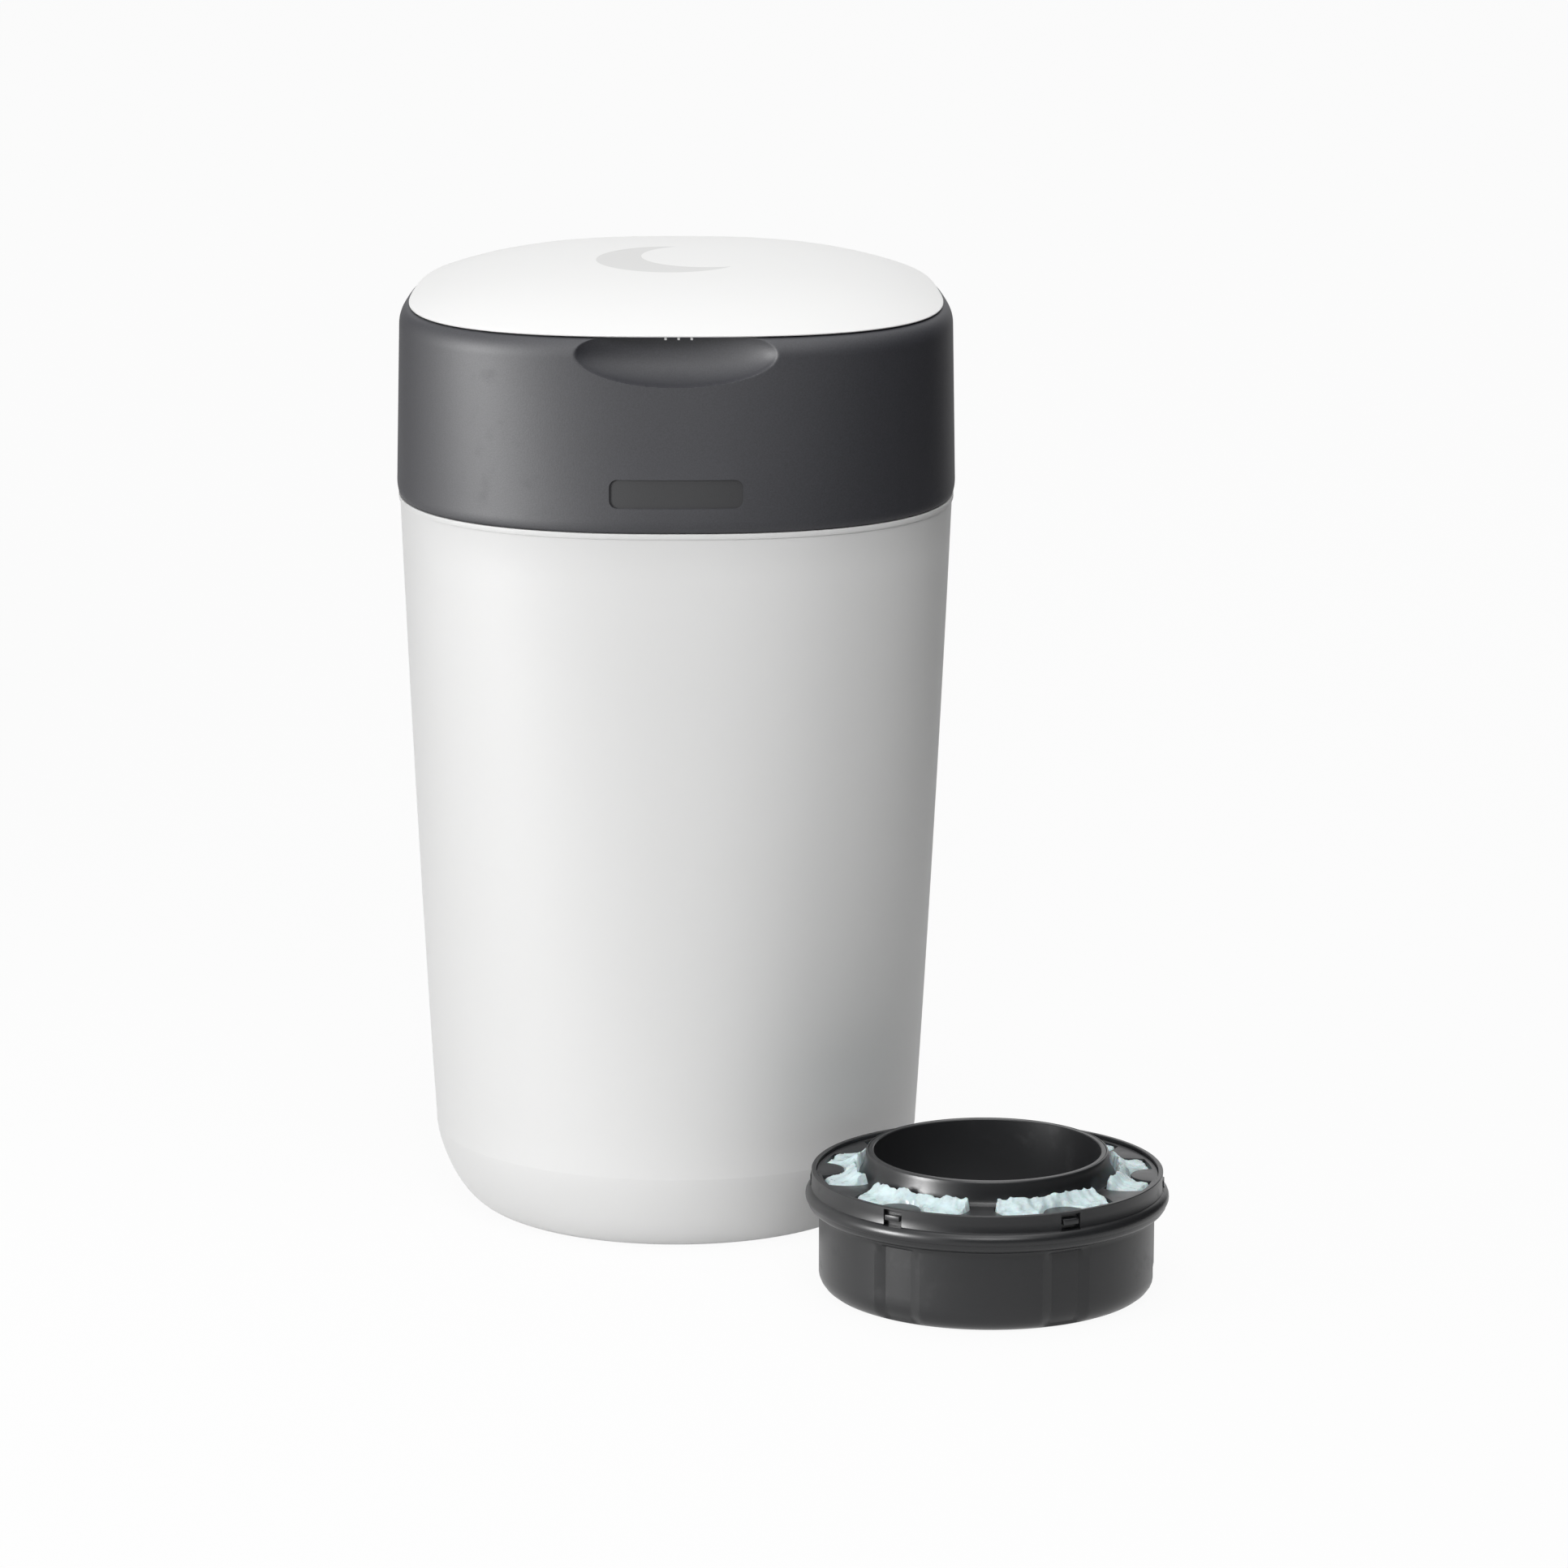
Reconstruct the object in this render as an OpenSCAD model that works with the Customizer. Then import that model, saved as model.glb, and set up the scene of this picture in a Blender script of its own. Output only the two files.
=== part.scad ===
// Nappy bin with a lift-up head, a twisting film carrier, a domed lid
// and one film cassette that stands beside it.
// Units are millimetres. The origin is the centre of the bin's base,
// the front faces -Y and +Z is up.

/* [Plan] */
// Roundness of the head's outline at its rim, 2 is a circle and 4 is nearly square
plan_head = 2.75; // [2:0.05:4]
// Roundness at the tub's rim
plan_top = 2.4; // [2.2:0.05:4]
// How much narrower the outline is at the back than in the middle, as a share
plan_taper = 0.085; // [0:0.005:0.12]
// Roundness of the tub's foot
plan_base = 2; // [1.8:0.05:2.1]

/* [Tub] */
// Height of the tub up to its rim
tub_h = 362.8; // [330:0.2:400]
// Width of the tub's rim
tub_rim_w = 268; // [264:0.2:271]
// Width of the tub at the crease above its foot
crease_w = 237.8; // [210:0.2:242]
// Height of the crease
crease_h = 39.8; // [30:0.1:50]
// How far the foot curves in below the crease
foot_round = 27.4; // [15:0.1:32]
// Lean of the foot's curve where it leaves the crease, 2 is upright
foot_lean = 1.35; // [1.1:0.05:2]
// Fullness of the foot's curve, 2 is an ellipse
foot_full = 1.95; // [1.5:0.05:3]
// How far the wall bulges halfway up
tub_bulge = 1.2; // [0:0.1:2]
// Wall of the tub
tub_wall = 2.6; // [2:0.1:3.2]
// Floor of the tub
tub_floor = 3; // [2:0.1:5]
// Height of the collar at the rim
collar_h = 2.6; // [1.5:0.1:5]
// Step from the collar in to the wall below it
collar_step = 0.7; // [0.3:0.1:1]

/* [Head band] */
// How far the band stands out past the tub's rim
band_overhang = 0.7; // [0.6:0.1:3]
// Height of the band
band_h = 93; // [88:0.5:110]
// Wall of the band
band_wall = 3; // [2.4:0.1:3.6]
// How far the lower edge turns in
turn_in = 1.6; // [0.5:0.1:2.5]
// Height of the turned lower edge
turn_h = 6; // [5:0.5:14]
// How far the band narrows up to its shoulder
band_lean = 2.3; // [0:0.1:3]
// Shoulder measured inwards
shoulder_w = 5.6; // [3:0.1:6]
// Shoulder measured upwards
shoulder_h = 9; // [5:0.1:10]
// Gap between the tub's rim and the band
head_gap = 0.4; // [0.2:0.1:1]

/* [Finger scoop] */
// Width of the scoop
scoop_w = 98; // [70:1:110]
// How far the scoop's widest line lies below the rim
scoop_drop = 6.5; // [0:0.5:12]
// Height of the scoop below its widest line
scoop_h = 16; // [12:0.5:30]
// Depth of the scoop
scoop_d = 13; // [8:0.5:13.5]
// Wall behind the scoop
scoop_wall = 2.2; // [1.6:0.1:2.4]

/* [Badge recess] */
// Width of the bare recess low on the band
badge_w = 64; // [40:1:80]
// Height of the recess
badge_h = 14; // [8:0.5:18]
// Corner radius of the recess
badge_r = 4; // [1:0.5:4]
// Depth of the recess
badge_d = 0.8; // [0.4:0.1:1.4]
// Height of the recess's middle above the band's lower edge
badge_up = 19; // [15:0.5:30]

/* [Lid] */
// How far the lid's edge lies inside the band's widest outline
lid_inset = 7; // [4:0.1:9]
// Rise of the dome
lid_rise = 15.5; // [10:0.5:25]
// Fullness of the dome, 2 is a parabola
lid_full = 3.2; // [2:0.1:4]
// Height of the lid's edge
lid_edge = 0.8; // [0.5:0.1:2]
// Wall of the lid
lid_wall = 2.6; // [2:0.1:3]
// Gap between the band's rim and the lid's edge
lid_gap = 0.6; // [0.4:0.1:1.5]
// Spacing of the three ribs under the front lip
lip_rib_pitch = 6.2; // [4:0.1:12]
// Width of each lip rib
lip_rib_w = 1.2; // [0.8:0.1:2]
// Length of each lip rib, front to back
lip_rib_len = 4.8; // [3:0.1:5]
// Height of each lip rib
lip_rib_h = 1.6; // [0.8:0.1:3]

/* [Deck and pan] */
// Depth of the deck's face below the band's rim
deck_drop = 9.2; // [8:0.1:12]
// Thickness of the deck
deck_t = 3; // [2:0.1:4]
// Thickness of the pan under the head
pan_t = 2.5; // [2:0.1:3.5]
// Depth of the skirt that enters the tub
skirt_h = 8; // [4:0.5:10]
// Clearance between the skirt and the tub
skirt_clear = 1.2; // [0.8:0.1:2]
// Width of the ledges inside the band
ledge_w = 10; // [9.5:0.5:12]

/* [Carrier and well] */
// Clearance round the cassette in its bay
bay_clear = 1.3; // [0.8:0.1:2.5]
// Wall of the carrier
carrier_wall = 2.8; // [2:0.1:3.5]
// Floor of the carrier
carrier_floor = 3; // [2:0.1:4]
// Gap between the carrier's wall and the well
well_clear = 1; // [0.6:0.1:2]
// Wall of the well
well_wall = 2.7; // [2:0.1:3.5]
// Floor of the well
well_floor = 4; // [3:0.1:6]
// Radius of the carrier's spigot, on which it turns
spigot_r = 69.9; // [67:0.1:72]
// Number of click notches round the carrier
notches = 24; // [12:1:36]
// Depth of each click notch
notch_d = 1.2; // [0.6:0.1:1.6]
// Number of raised grips on the twist ring
grips = 4; // [2:1:6]
// Height of the grips
grip_h = 6; // [3:0.5:7]

/* [Petals] */
// Number of film gripping petals
petals = 6; // [6:1:6]
// Distance of each petal's hinge from the middle
petal_r = 66; // [65:0.5:68]
// Length of a petal
petal_len = 61; // [50:0.5:62]
// Thickness of a petal
petal_t = 2.2; // [1.6:0.1:3]
// Droop of a petal at rest, in degrees
petal_droop = 35; // [32:1:45]
// Width of a petal at its hinge
petal_w = 50; // [40:1:52]

/* [Hinges] */
// Radius of the two long hinge pins
pin_r = 2.5; // [2:0.1:3]
// Radius of the eyes of the head's hinge
head_eye_r = 5.5; // [5:0.1:5.8]
// Radius of the eyes of the lid's hinge
lid_eye_r = 4.6; // [4.2:0.1:4.8]
// Half length of each hinge
hinge_half = 34; // [30:1:40]
// Half length of the middle eye
eye_half = 20; // [14:1:24]
// Running clearance of a pin in its bore, on the radius
run_fit = 0.05; // [0.02:0.01:0.1]

/* [Cutter] */
// Length of the cutter's housing
cutter_len = 80; // [70:1:90]
// Depth of the housing, front to back
cutter_d = 18; // [16:0.5:20]
// Height of the housing
cutter_h = 13; // [12:0.5:16]
// Gap between the housing and the pan's skirt in front of it
cutter_gap = 1.5; // [0.5:0.1:4]
// Length of the slider
slider_len = 22; // [18:1:26]
// Clearance round the slider
slider_clear = 0.3; // [0.2:0.05:0.5]

/* [Cassette] */
// Distance of the cassette to the right of the bin's middle
cassette_x = 149.3; // [149:1:200]
// Distance of the cassette in front of the bin's middle
cassette_y = 166.3; // [166:1:220]
// Radius of the cassette's body
cup_r = 81.1; // [79:0.1:82]
// Radius of its flange
flange_r = 87.2; // [86.5:0.1:88]
// Radius of its rim wall
cup_rim_r = 84.3; // [84:0.1:85]
// Height of the flange's lower face
flange_z = 43; // [38:0.5:44]
// Thickness of the flange
flange_h = 7; // [4:0.5:7]
// Height of the rim
cup_rim_z = 59.2; // [58.5:0.1:62]
// Radius of the centre tube
tube_r = 57.1; // [55:0.1:57.5]
// Height of the centre tube
tube_z = 68.7; // [65:0.1:69]
// Wall of the centre tube
tube_wall = 2.5; // [1.8:0.1:3]
// Radius of the body's lower edge
cup_round = 10.3; // [6:0.1:12]
// Number of recessed panels, windows and spokes
panels = 6; // [6:1:6]
// Depth of the recessed panels
panel_d = 2; // [1:0.1:2.5]
// Angle from the front to the first panel, in degrees
panel_turn = 26; // [20:1:32]
// Depth of the cover's face below the rim
cover_drop = 1.7; // [1:0.1:2.5]
// Thickness of the cover
cover_t = 2; // [1.5:0.1:2.5]

/* [Hidden] */
$fn = 96;
plan_steps = 72;
// Overrun of a cut past a face
over = 1;
// Gap between two still pieces that face each other
seat = 0.1;
// Gap at a moving face
glide = 0.3;
tub_grey = [0.95, 0.95, 0.94];
graphite = [0.27, 0.28, 0.30];
charcoal = [0.17, 0.18, 0.20];
steel = [0.75, 0.76, 0.78];
aqua = [0.62, 0.83, 0.80];

// Heights
band_z = tub_h + head_gap;
rim_z = band_z + band_h;
lid_z = rim_z + lid_gap;
deck_z = rim_z - deck_drop;
pan_z = band_z + 0.8;
well_z = pan_z;
carrier_z = well_z + well_floor + glide;
bay_z = carrier_z + carrier_floor;

// Half widths of the head
head_a = tub_rim_w / 2 + band_overhang;
low_a = head_a - turn_in;
high_a = head_a - band_lean;
rim_a = high_a - shoulder_w;
rim_in_a = rim_a - band_wall + 0.3;
lid_a = head_a - lid_inset;
tub_in_a = tub_rim_w / 2 - collar_step - tub_wall;

// Radii of the turning parts
bay_r = flange_r + bay_clear;
carrier_r = bay_r + carrier_wall;
well_r = carrier_r + well_clear;
well_out_r = well_r + well_wall;
throat_r = tube_r + 1.4;
ring_r = well_out_r + 2.8;
deck_hole_r = ring_r + 0.5;
well_flange_r = well_out_r + 11;

// The outline narrows to the back by this share, from none at the foot's roundness to all at the rim's
function taper(n) = plan_taper * min(1, (n - plan_base) / (plan_top - plan_base));
// A point of the rounded square outline of half width a
function plan_point(a, n, w) = let (r = pow(pow(abs(cos(w)), n) + pow(abs(sin(w)), n), -1 / n))
    [a * r * cos(w) * (1 - taper(n) * r * sin(w)), a * r * sin(w)];
function plan(a, n) = [for (i = [0 : plan_steps - 1]) plan_point(a, n, i * 360 / plan_steps)];
// How far the outline of half width a reaches at a distance x from the middle, side 1 is the back
function plan_reach(a, n, x, side = 1) = let (u = abs(x) / (1 - 0.9 * side * taper(n)))
    pow(pow(a, n) - pow(u, n), 1 / n);

// A solid through outlines, each [half width, roundness, height]
module loft(levels) {
    m = plan_steps;
    last = (len(levels) - 1) * m;
    points = [for (l = levels) for (p = plan(l[0], l[1])) [p[0], p[1], l[2]]];
    sides = [for (j = [0 : len(levels) - 2]) for (i = [0 : m - 1])
        let (a = j * m + i, b = j * m + (i + 1) % m)
        each [[a, a + m, b + m], [a, b + m, b]]];
    faces = concat([[for (i = [0 : m - 1]) i]], sides, [[for (i = [m - 1 : -1 : 0]) last + i]]);
    polyhedron(points, faces, convexity = 6);
}

// A flat plate in the rounded square outline, from height z up by t
module plate(a, n, z, t) {
    translate([0, 0, z]) linear_extrude(t) polygon(plan(a, n));
}

module ring(r_out, r_in, z, h) {
    translate([0, 0, z]) difference() {
        cylinder(r = r_out, h = h);
        translate([0, 0, -over]) cylinder(r = r_in, h = h + 2 * over);
    }
}

// A cylinder along X, centred on the middle, at depth y and height z
module rod_x(r, half, y, z) {
    translate([-half, y, z]) rotate([0, 90, 0]) cylinder(r = r, h = 2 * half, $fn = 48);
}

// An outline in Y and Z, drawn out along X from x0 to x1
module slab_x(outline, x0, x1) {
    translate([x0, 0, 0]) rotate([90, 0, 90]) linear_extrude(x1 - x0) polygon(outline);
}

// Copies n times round the Z axis
module around(n, first = 0) {
    for (i = [0 : n - 1]) rotate([0, 0, first + i * 360 / n]) children();
}

// Tub

foot_a = crease_w / 2 - foot_round;
wall_top_a = tub_rim_w / 2 - collar_step;
foot_steps = 6;
wall_steps = 4;

function foot_level(i, a, z) = let (w = 90 * i / foot_steps)
    [a - foot_round * (1 - pow(1 - pow(cos(w), foot_lean), 1 / foot_full)), plan_base,
        z + (crease_h - z) * (1 - cos(w))];
function wall_level(i, a0, a1) = let (f = i / wall_steps)
    [a0 + (a1 - a0) * f + 4 * tub_bulge * f * (1 - f), plan_base + (plan_top - plan_base) * f,
        crease_h + (tub_h - collar_h - crease_h) * f];
tub_outer = concat(
    [for (i = [0 : foot_steps]) foot_level(i, crease_w / 2, 0)],
    [for (i = [1 : wall_steps]) wall_level(i, crease_w / 2, wall_top_a)],
    [[wall_top_a + collar_step, plan_top, tub_h - collar_h],
     [wall_top_a + collar_step, plan_top, tub_h]]);
tub_inner = concat(
    [for (i = [0 : foot_steps]) foot_level(i, crease_w / 2 - tub_wall, tub_floor)],
    [for (i = [1 : wall_steps]) wall_level(i, crease_w / 2 - tub_wall, tub_in_a)],
    [[tub_in_a, plan_top, tub_h + over]]);

// The head's hinge lies behind the band, clear of it by the eye's radius
head_axis_y = head_a + head_eye_r + 1.5;
head_axis_z = tub_h + 0.2;
head_diag = head_eye_r * cos(45);

module tub_arm(x0, x1) {
    wall_y = plan_reach(wall_top_a, plan_top, hinge_half);
    slab_x([[wall_y - tub_wall / 2, tub_h - 25], [wall_y + 1, tub_h - 25],
        [head_axis_y + head_diag, head_axis_z - head_diag],
        [head_axis_y, head_axis_z],
        [head_axis_y - head_diag, head_axis_z + head_diag],
        [head_a + 0.5, tub_h], [wall_y - tub_wall / 2, tub_h]], x0, x1);
}

module tub_shell() {
    color(tub_grey) difference() {
        union() {
            difference() {
                loft(tub_outer);
                loft(tub_inner);
            }
            for (s = [-1, 1]) {
                x0 = s > 0 ? eye_half + glide : -hinge_half;
                tub_arm(x0, x0 + hinge_half - eye_half - glide);
                translate([x0, head_axis_y, head_axis_z]) rotate([0, 90, 0])
                    cylinder(r = head_eye_r, h = hinge_half - eye_half - glide, $fn = 48);
            }
        }
        rod_x(pin_r + run_fit, hinge_half + over, head_axis_y, head_axis_z);
    }
}

module head_hinge_pin() {
    color(steel) rod_x(pin_r, hinge_half + 0.5, head_axis_y, head_axis_z);
}

// Head

lid_axis_y = high_a + lid_eye_r + 1.9;
lid_axis_z = rim_z - 5.8;
lid_diag = lid_eye_r * cos(45);
shoulder_steps = 5;
ledge_t = 3.4;

function shoulder_level(i) = let (w = 90 * i / shoulder_steps)
    [rim_a + shoulder_w * cos(w), plan_head, rim_z - shoulder_h * (1 - sin(w))];
function turn_level(i) = let (w = 30 * i)
    [low_a + turn_in * sin(w), plan_top, band_z + turn_h * (1 - cos(w))];
band_outer = concat(
    [for (i = [0 : 3]) turn_level(i)],
    [for (i = [0 : shoulder_steps]) shoulder_level(i)]);
low_in_a = low_a - band_wall;
mid_in_a = head_a - band_wall;
high_in_a = high_a - band_wall;
ledge_a = high_in_a - ledge_w;
foot_ledge_z = pan_z + pan_t;
deck_ledge_z = deck_z - deck_t;
band_hollow = [
    [low_in_a, plan_top, band_z - over],
    [low_in_a, plan_top, foot_ledge_z],
    [low_in_a - ledge_w, plan_top, foot_ledge_z],
    [low_in_a - ledge_w, plan_top, foot_ledge_z + ledge_t],
    [mid_in_a, plan_top, foot_ledge_z + ledge_t],
    [high_in_a, plan_head, deck_ledge_z - ledge_t],
    [ledge_a, plan_head, deck_ledge_z - ledge_t],
    [ledge_a, plan_head, deck_ledge_z],
    [rim_in_a + 1.5, plan_head, deck_ledge_z],
    [rim_in_a, plan_head, rim_z - shoulder_h / 2],
    [rim_in_a, plan_head, rim_z + over]];

// The scoop is part of an egg shape, grown by g for the wall behind it
module scoop_egg(g) {
    translate([0, -high_a, rim_z - scoop_drop])
        scale([scoop_w / 2 + g, scoop_d + g, scoop_h + g]) sphere(r = 1, $fn = 48);
}

module badge_prism() {
    w = badge_w / 2 - badge_r;
    h = badge_h / 2 - badge_r;
    translate([0, -head_a + 6, band_z + badge_up]) rotate([90, 0, 0]) linear_extrude(6 + over) union() {
        square([2 * w, badge_h], center = true);
        square([badge_w, 2 * h], center = true);
        for (x = [-w, w]) for (z = [-h, h]) translate([x, z]) circle(r = badge_r, $fn = 24);
    }
}

module badge_cut() {
    difference() {
        badge_prism();
        loft([for (l = band_outer) [l[0] - badge_d, l[1], l[2]]]);
    }
}

module band_lid_arm(x0, x1) {
    wall_y = plan_reach(high_a, plan_head, hinge_half);
    slab_x([[wall_y - band_wall / 2, rim_z - 30], [wall_y + 0.5, rim_z - 30],
        [lid_axis_y + lid_diag, lid_axis_z - lid_diag],
        [lid_axis_y, lid_axis_z],
        [lid_axis_y - lid_diag, lid_axis_z + lid_diag],
        [wall_y - band_wall / 2, rim_z - shoulder_h]], x0, x1);
}

module band_hinge_arm() {
    slab_x([[head_a - band_wall / 2, band_z + 30], [head_a - band_wall / 2, band_z + 3],
        [head_a + 0.5, band_z + 1],
        [head_axis_y - head_diag, head_axis_z - head_diag],
        [head_axis_y, head_axis_z],
        [head_axis_y + head_diag, head_axis_z + head_diag],
        [head_a + 1, band_z + 30]], -eye_half, eye_half);
}

screw_r = 1.6;
screw_head_r = 3.2;
screw_head_h = 1.8;
skirt_a = tub_in_a - skirt_clear;
skirt_t = 2;
pan_screw_a = skirt_a - skirt_t - screw_head_r - glide;
pan_screws_n = 8;
pan_screw_turn = 22.5;

module pan_screw_places() {
    for (i = [0 : pan_screws_n - 1]) {
        p = plan_point(pan_screw_a, plan_top, pan_screw_turn + i * 360 / pan_screws_n);
        translate([p[0], p[1], 0]) children();
    }
}

module band() {
    color(graphite) difference() {
        union() {
            difference() {
                loft(band_outer);
                difference() {
                    loft(band_hollow);
                    scoop_egg(scoop_wall);
                }
            }
            for (s = [-1, 1]) {
                x0 = s > 0 ? eye_half + glide : -hinge_half;
                band_lid_arm(x0, x0 + hinge_half - eye_half - glide);
                translate([x0, lid_axis_y, lid_axis_z]) rotate([0, 90, 0])
                    cylinder(r = lid_eye_r, h = hinge_half - eye_half - glide, $fn = 48);
            }
            band_hinge_arm();
            rod_x(head_eye_r, eye_half, head_axis_y, head_axis_z);
        }
        scoop_egg(0);
        badge_cut();
        rod_x(pin_r + run_fit, hinge_half + over, head_axis_y, head_axis_z);
        rod_x(pin_r + run_fit, hinge_half + over, lid_axis_y, lid_axis_z);
        pan_screw_places() translate([0, 0, foot_ledge_z - over])
            cylinder(r = screw_r + run_fit, h = ledge_t + 2 * over, $fn = 24);
    }
}

module lid_hinge_pin() {
    color(steel) rod_x(pin_r, hinge_half + 0.5, lid_axis_y, lid_axis_z);
}

deck_screw_r = well_out_r + 7.3;
deck_screws_n = 6;
deck_screw_turn = 30;

module deck() {
    color(graphite) difference() {
        plate(rim_in_a - seat, plan_head, deck_ledge_z, deck_t);
        translate([0, 0, deck_ledge_z - over]) cylinder(r = deck_hole_r, h = deck_t + 2 * over);
        scoop_egg(scoop_wall + seat);
        around(deck_screws_n, deck_screw_turn) translate([deck_screw_r, 0, 0]) {
            translate([0, 0, deck_ledge_z - over])
                cylinder(r = screw_r + run_fit, h = deck_t + 2 * over, $fn = 24);
            translate([0, 0, deck_z - screw_head_h])
                cylinder(r = screw_head_r + seat, h = screw_head_h + over, $fn = 24);
        }
    }
}

// The well hangs from the deck and carries the turning carrier on its floor
module well() {
    color(charcoal) difference() {
        union() {
            translate([0, 0, well_z]) cylinder(r = well_out_r, h = deck_ledge_z - well_z);
            translate([0, 0, deck_ledge_z - ledge_t]) cylinder(r = well_flange_r, h = ledge_t);
        }
        translate([0, 0, well_z + well_floor]) cylinder(r = well_r, h = deck_ledge_z);
        translate([0, 0, well_z - over]) cylinder(r = spigot_r + run_fit, h = well_floor + 2 * over);
        around(deck_screws_n, deck_screw_turn) translate([deck_screw_r, 0, deck_ledge_z - ledge_t - over])
            cylinder(r = screw_r + run_fit, h = ledge_t + 2 * over, $fn = 24);
        around(gripper_screws_n, gripper_screw_turn) translate([gripper_screw_r, 0, well_z - over])
            cylinder(r = screw_r + run_fit, h = well_floor + 2 * over, $fn = 24);
        spring_window();
    }
}

module pan() {
    color(charcoal) difference() {
        union() {
            plate(low_in_a - seat, plan_top, pan_z, pan_t);
            plate(skirt_a, plan_top, pan_z - skirt_h, skirt_h);
        }
        plate(skirt_a - skirt_t, plan_top, pan_z - skirt_h - over, skirt_h + over);
        translate([0, 0, pan_z - over]) cylinder(r = well_out_r + seat, h = pan_t + 2 * over);
        pan_screw_places() translate([0, 0, pan_z - over])
            cylinder(r = screw_r + run_fit, h = pan_t + 2 * over, $fn = 24);
    }
}

// A screw that enters upwards from height z, with its head below
module screw_up(z, h) {
    translate([0, 0, z]) cylinder(r = screw_r, h = h, $fn = 24);
    translate([0, 0, z - screw_head_h]) difference() {
        cylinder(r = screw_head_r, h = screw_head_h, $fn = 24);
        translate([0, 0, -over]) cylinder(r = 1.5, h = over + 1, $fn = 6);
    }
}

module deck_screws() {
    color(steel) around(deck_screws_n, deck_screw_turn) translate([deck_screw_r, 0, deck_z - screw_head_h])
        mirror([0, 0, 1]) screw_up(0, deck_t + ledge_t - screw_head_h);
}

module pan_screws() {
    color(steel) pan_screw_places() screw_up(pan_z, pan_t + ledge_t);
}

gripper_screws_n = 6;
gripper_screw_turn = 30;
gripper_t = 3;
gripper_z = well_z - gripper_t;
gripper_out_r = well_r;
gripper_screw_r = 82;
petal_axis_z = gripper_z - 3.6;
petal_eye_r = 3.2;
petal_pin_r = 1.6;
petal_lug_w = 4;
petal_hub_half = petal_w / 2 + 0.5;

module gripper_screws() {
    color(steel) around(gripper_screws_n, gripper_screw_turn) translate([gripper_screw_r, 0, 0])
        screw_up(gripper_z, gripper_t + well_floor);
}

// A ring under the well with a pair of lugs for each petal
module gripper_ring() {
    color(charcoal) difference() {
        union() {
            ring(gripper_out_r, petal_r - 5.5, gripper_z, gripper_t);
            around(petals) for (s = [-1, 1]) {
                y0 = s > 0 ? petal_hub_half + glide : -petal_hub_half - glide - petal_lug_w;
                translate([petal_r - petal_eye_r, y0, petal_axis_z])
                    cube([2 * petal_eye_r, petal_lug_w, gripper_z - petal_axis_z + over]);
                translate([petal_r, y0, petal_axis_z]) rotate([-90, 0, 0])
                    cylinder(r = petal_eye_r, h = petal_lug_w, $fn = 32);
            }
        }
        around(petals) translate([petal_r, -petal_hub_half - petal_lug_w - over, petal_axis_z])
            rotate([-90, 0, 0])
            cylinder(r = petal_pin_r + run_fit, h = 2 * (petal_hub_half + petal_lug_w + over), $fn = 32);
        around(gripper_screws_n, gripper_screw_turn) translate([gripper_screw_r, 0, gripper_z - over])
            cylinder(r = screw_r + run_fit, h = gripper_t + 2 * over, $fn = 24);
    }
}

// Petal whose hinge lies in direction w from the middle
petal_tip_r = petal_r - petal_len * cos(petal_droop);
petal_tip_w = petal_tip_r * tan(30) - 1.2;
petal_waist = (petal_r - (petal_w / 2 + 1.2) / tan(30)) / cos(petal_droop);

module petal(w) {
    color(aqua) rotate([0, 0, w]) translate([petal_r, 0, petal_axis_z]) {
        rotate([-90, 0, 0]) translate([0, 0, -petal_hub_half])
            cylinder(r = petal_eye_r - 0.2, h = 2 * petal_hub_half, $fn = 32);
        rotate([-90, 0, 0]) translate([0, 0, -petal_hub_half - petal_lug_w])
            cylinder(r = petal_pin_r, h = 2 * (petal_hub_half + petal_lug_w), $fn = 32);
        rotate([0, -petal_droop, 0]) translate([0, 0, -petal_t / 2]) linear_extrude(petal_t)
            polygon([[0, -petal_w / 2], [0, petal_w / 2], [-petal_waist, petal_w / 2],
                [-petal_len, petal_tip_w], [-petal_len, -petal_tip_w], [-petal_waist, -petal_w / 2]]);
    }
}

// Click spring: a leaf on the well whose nose faces the notches
spring_w = 10;
spring_t = 1;
spring_turn = 90;
spring_z = bay_z + 3;
spring_h = 6;
notch_r = 4;

module spring_window() {
    rotate([0, 0, spring_turn]) translate([well_r - over, -spring_w / 2 - 1, spring_z - 1])
        cube([well_wall + 2 * over, spring_w + 2, spring_h + 2]);
}

module click_spring() {
    nose_r = carrier_r + 2 * glide;
    nose = 1.5;
    color(steel) rotate([0, 0, spring_turn]) difference() {
        union() {
            translate([well_out_r + seat, -spring_w, spring_z]) cube([spring_t, 2 * spring_w, spring_h]);
            translate([nose_r + nose, 0, spring_z]) cylinder(r = nose, h = spring_h, $fn = 32);
            translate([nose_r + nose, -nose / 2, spring_z])
                cube([well_out_r + seat - nose_r - nose + spring_t / 2, nose, spring_h]);
        }
        translate([0, 0, spring_z - over]) cylinder(r = nose_r, h = spring_h + 2 * over);
    }
}

// Rotor

module carrier() {
    color(charcoal) difference() {
        union() {
            translate([0, 0, carrier_z]) cylinder(r = carrier_r, h = deck_ledge_z + glide + 0.1 - carrier_z);
            translate([0, 0, well_z + 0.5]) cylinder(r = spigot_r, h = carrier_z - well_z);
        }
        translate([0, 0, bay_z]) cylinder(r = bay_r, h = band_h);
        translate([0, 0, well_z - over]) cylinder(r = throat_r, h = band_h);
        around(notches) translate([carrier_r + notch_r - notch_d, 0, spring_z - 2])
            cylinder(r = notch_r, h = spring_h + 4, $fn = 32);
    }
}

ring_z = deck_ledge_z + glide + 0.1;
ring_t = 3;
grip_arc = 22;

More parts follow.
